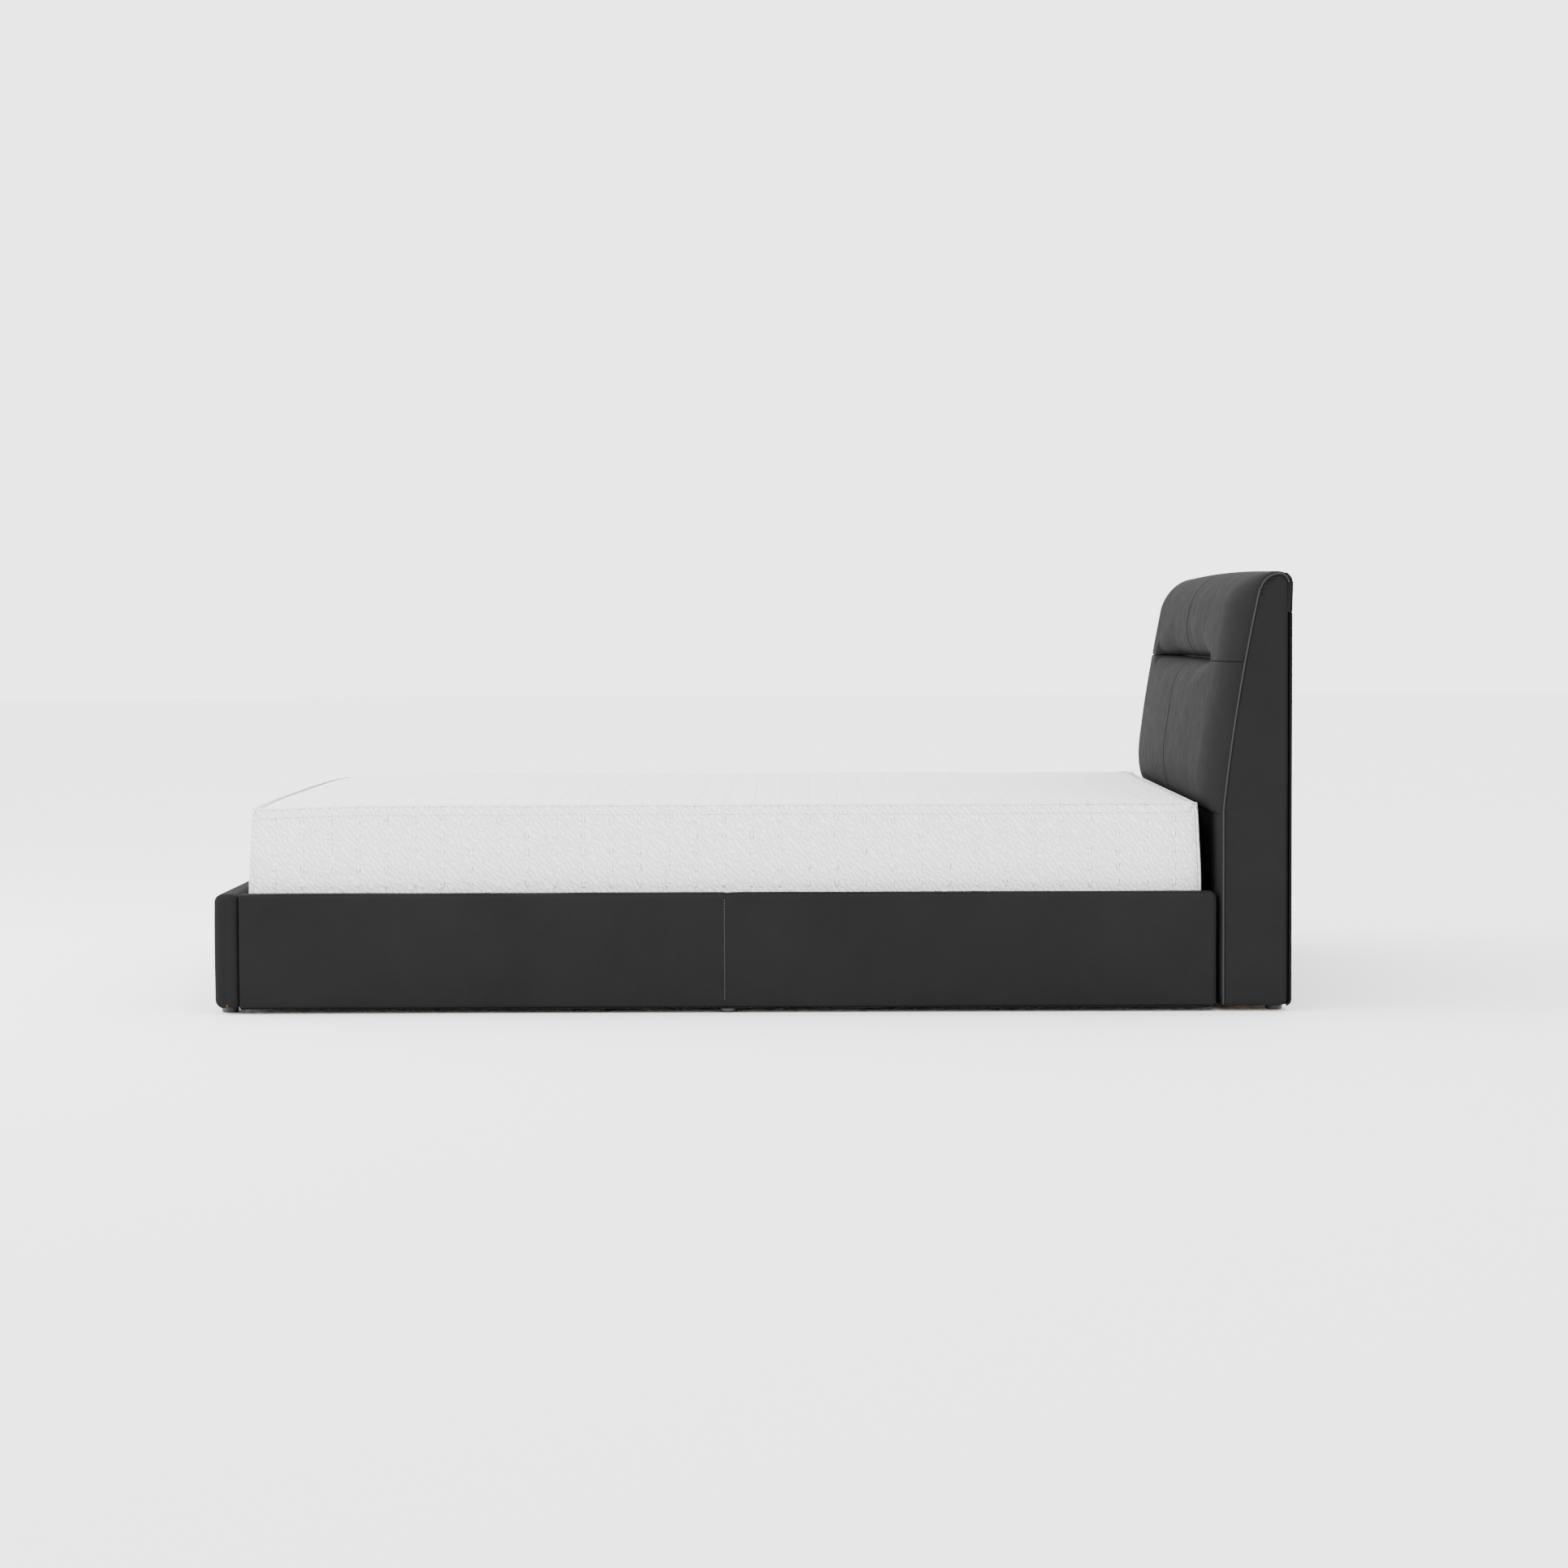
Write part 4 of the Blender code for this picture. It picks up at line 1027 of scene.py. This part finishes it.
def selectEdges(piece, test):
    bpy.ops.object.mode_set(mode="OBJECT")
    for part in (piece.data.vertices, piece.data.polygons):
        for item in part:
            item.select = False
    for edge in piece.data.edges:
        edge.select = test(*(piece.data.vertices[v].co for v in edge.vertices))
    bpy.ops.object.mode_set(mode="EDIT")
    bpy.ops.mesh.select_mode(type="EDGE")


def sideSwell(up):
    # how far the sides stand out at a share of the height: full low down, drawn in at the top
    return mattress["bulge"] - mattress["taper"] * smoothStep((up - 0.3) / 0.7)


def cornerCrease(x, y, z):
    # a pulled crease that runs from each upper corner down the long side
    along = mattressSize.x / 2 - abs(x - mattressCentre.x) - 0.006
    drop = mattressHigh.z - z - 0.004
    if along < 0 or drop < 0 or mattressSize.y / 2 - abs(y) > 0.02:
        return 0.0
    across = (along * 1.6 - drop) / 1.9
    length = math.hypot(along, drop) / 0.055
    return math.exp(-(across / 0.004) ** 2) * max(1 - length, 0.0)


def shapeMattress(piece):
    for vertex in piece.data.vertices:
        x, y, z = vertex.co
        up = (z - mattressLow.z) / mattressSize.z
        acrossX = (x - mattressCentre.x) / (mattressSize.x / 2)
        acrossY = (y - mattressCentre.y) / (mattressSize.y / 2)
        edge = max(abs(acrossX), abs(acrossY))
        inner = smoothStep((edge - 0.9) / 0.08)
        swell = sideSwell(up) + mattress["wave"] * ripple(x, y, z, 0.25) * 0.6 * smoothStep((1 - up) / 0.15)
        swell -= mattress["creaseDepth"] * cornerCrease(x, y, z)
        toEnd = mattressSize.x / 2 - abs(x - mattressCentre.x)
        draw = mattress["endDraw"] * smoothStep(1 - toEnd / mattress["endDrawLength"])
        vertex.co.x += swell * inner * acrossX * (abs(acrossX) > 0.9)
        vertex.co.y += (swell - draw) * inner * acrossY * (abs(acrossY) > 0.9)
        corner = math.hypot(mattressSize.x / 2 - abs(x - mattressCentre.x), mattressSize.y / 2 - abs(y))
        lift = mattress["wave"] * (ripple(x, y, 1.0, 0.35) - 1) + mattress["crown"] * (1 - edge ** 4)
        if x > mattressCentre.x:
            lift += mattress["earRise"] * math.exp(-(corner / mattress["earSize"]) ** 2)
        else:
            lift -= mattress["footDroop"] * math.exp(-(corner / mattress["droopReach"]) ** 2)
        vertex.co.z += lift * smoothStep((up - 0.45) / 0.5)
        if up < 0.02:
            vertex.co.z += 0.001
    piece.data.update()


def makeTicking():
    deselectAll()
    bpy.ops.mesh.primitive_cube_add(size=1.0, location=mattressCentre, scale=mattressSize)
    piece = bpy.context.object
    piece.name = "mattressTicking"
    bpy.ops.object.transform_apply(location=True, rotation=True, scale=True)
    bpy.ops.object.mode_set(mode="EDIT")
    selectEdges(piece, lambda a, b: abs(a.z - b.z) > 0.1)
    bpy.ops.mesh.bevel(offset=mattress["cornerRound"], segments=6, affect="EDGES")
    selectEdges(piece, lambda a, b: abs(a.z - b.z) < 1e-5)
    bpy.ops.mesh.bevel(offset=mattress["topRound"], segments=4, affect="EDGES")
    for axis in range(3):
        margin = 0.05 if axis < 2 else 0.03
        for along in evenly(mattressLow[axis] + margin, mattressHigh[axis] - margin, 0.048):
            point, normal = list(mattressCentre), [0.0, 0.0, 0.0]
            point[axis], normal[axis] = along, 1.0
            bpy.ops.mesh.select_all(action="SELECT")
            bpy.ops.mesh.bisect(plane_co=point, plane_no=normal, use_fill=False)
    bpy.ops.object.mode_set(mode="OBJECT")
    applyModifier(piece, "SUBSURF", levels=2, subdivision_type="SIMPLE")
    applyModifier(piece, "SMOOTH", iterations=6, factor=0.5)
    shapeMattress(piece)
    bpy.ops.object.shade_smooth()
    return piece


def alongProfile(out, half, z):
    # way up the side, round the top edge and in over the top, in metres
    r = mattress["topRound"]
    rise, reach = z - (mattressHigh.z - r), out - (half - r)
    if rise <= 0:
        return z
    if reach <= 0:
        return mattressHigh.z + (math.pi / 2 - 1) * r + half - r - out
    return mattressHigh.z - r + r * math.atan2(rise, reach)


def mapTicking(piece):
    # flat cloth coordinates in metres, running on from one long side over the top to the other
    halfX, halfY = mattressSize.x / 2, mattressSize.y / 2
    middle = alongProfile(0.0, halfY, mattressHigh.z)
    layer = piece.data.uv_layers.get("cloth") or piece.data.uv_layers.new(name="cloth")
    for face in piece.data.polygons:
        onEnd = abs(face.normal.x) > max(abs(face.normal.y), abs(face.normal.z))
        for loop in face.loop_indices:
            x, y, z = piece.data.vertices[piece.data.loops[loop].vertex_index].co
            if onEnd:
                layer.data[loop].uv = (y, alongProfile(abs(x - mattressCentre.x), halfX, z))
            else:
                along = alongProfile(abs(y), halfY, z)
                layer.data[loop].uv = (x, along if face.center.y < 0 else 2 * middle - along)


def tubeAlong(name, points, radius):
    # a round cord along a line of points
    curve = bpy.data.curves.new(name, "CURVE")
    curve.dimensions = "3D"
    curve.bevel_depth = radius
    curve.bevel_resolution = 3
    curve.use_fill_caps = True
    spline = curve.splines.new("POLY")
    spline.points.add(len(points) - 1)
    for point, co in zip(spline.points, points):
        point.co = (*co, 1.0)
    tube = bpy.data.objects.new(name, curve)
    bpy.context.scene.collection.objects.link(tube)
    makeActive(tube)
    bpy.ops.object.convert(target="MESH")
    bpy.ops.object.shade_smooth()
    return bpy.context.object


def makeMattressPiping():
    # corded seams down the four upright corners
    r = mattress["cornerRound"]
    reach = (r + 0.0006) * math.sqrt(0.5)
    corners = (("HeadRight", 1, -1), ("HeadLeft", 1, 1), ("FootRight", -1, -1), ("FootLeft", -1, 1))
    for name, sx, sy in corners:
        cornerX = mattressCentre.x + sx * (mattressSize.x / 2 - r + reach)
        cornerY = sy * (mattressSize.y / 2 - r + reach)
        points = []
        for k in range(33):
            up = 0.05 + 0.93 * k / 32
            draw = sideSwell(up) - 0.011 * smoothStep((up - 0.92) / 0.08)
            points.append((cornerX + sx * draw, cornerY + sy * draw, mattressLow.z + up * mattressSize.z))
        piping = tubeAlong(f"mattressPiping{name}", points, mattress["pipingRadius"])
        mapTicking(piping)
        finishPiece(piping, knitMaterial, "white_knit", "mattress")


def makeBaseCloth():
    # thin non-slip cloth under the mattress
    low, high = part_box("mattress_base_cloth")
    deselectAll()
    bpy.ops.mesh.primitive_grid_add(x_subdivisions=80, y_subdivisions=60, size=1.0)
    cloth = bpy.context.object
    cloth.name = "mattressBaseCloth"
    for vertex in cloth.data.vertices:
        x, y = vertex.co.x * (high.x - low.x), vertex.co.y * (high.y - low.y)
        vertex.co = ((low.x + high.x) / 2 + x, y, low.z + 0.0008 + 0.0002 * ripple(x, y, 4.0, 0.08))
    applyModifier(cloth, "SOLIDIFY", thickness=0.0006, offset=-1.0)
    finishPiece(cloth, cambricMaterial, "black_backing", "mattress", "mattress_base_cloth")


ticking = makeTicking()
mapTicking(ticking)
finishPiece(ticking, knitMaterial, "white_knit", "mattress", "mattress_cover", "mattress_core")
makeMattressPiping()
makeBaseCloth()
print("mattress made")


# Welts in the headboard's side seams

welt = {"radius": 0.0022, "inset": 0.0004, "topInset": 0.002, "footLift": 0.003}


def makeWelt(side, sign):
    radius = welt["radius"]
    y = sign * (headboard["sideY"] - radius - welt["inset"])
    foot = headboard["baseZ"] + welt["footLift"]
    line = [(seamBaseX, z) for z in [foot] + evenly(foot, headboard["leanBaseZ"], 0.02)]
    line += [(seamX(z), z) for z in evenly(headboard["leanBaseZ"], leanTopZ, 0.012)]
    line += overTop(seamShoulderX, leanTopZ, headboard["shoulderDrop"], -welt["topInset"])[1:]
    piece = tubeAlong(f"headboardWelt{side}", [(x, y, z) for x, z in line], radius)
    finishPiece(piece, weltMaterial, "charcoal_leather", "bed_frame", f"headboard_welt_{side.lower()}")


makeWelt("Right", -1)
makeWelt("Left", 1)
print("welts made")


# CAD nodes that show as they are take their real finish

slotMaterials = {
    "plywood": plywoodMaterial,
    "black_backing": cambricMaterial,
    "black_steel": steelMaterial,
    "zinc_steel": zincMaterial,
    "black_nylon": nylonMaterial,
    "mattress_foam": foamMaterial,
    "white_knit": knitMaterial,
    "charcoal_leather": leatherMaterial,
}


def dressNodes():
    slotOf = {part["node"]: part["material_slot"] for part in frame["record"]["subparts"]}
    for name, node in frame["nodes"].items():
        slot = slotOf[name]
        if slot == "pine":
            size = node.dimensions
            longest = max(range(3), key=lambda k: size[k])
            material = (pineAlongX, pineAlongY, pineAlongZ)[longest]
        else:
            material = slotMaterials[slot]
        node.data.materials.clear()
        node.data.materials.append(material)


dressNodes()
print("frame pieces finished")
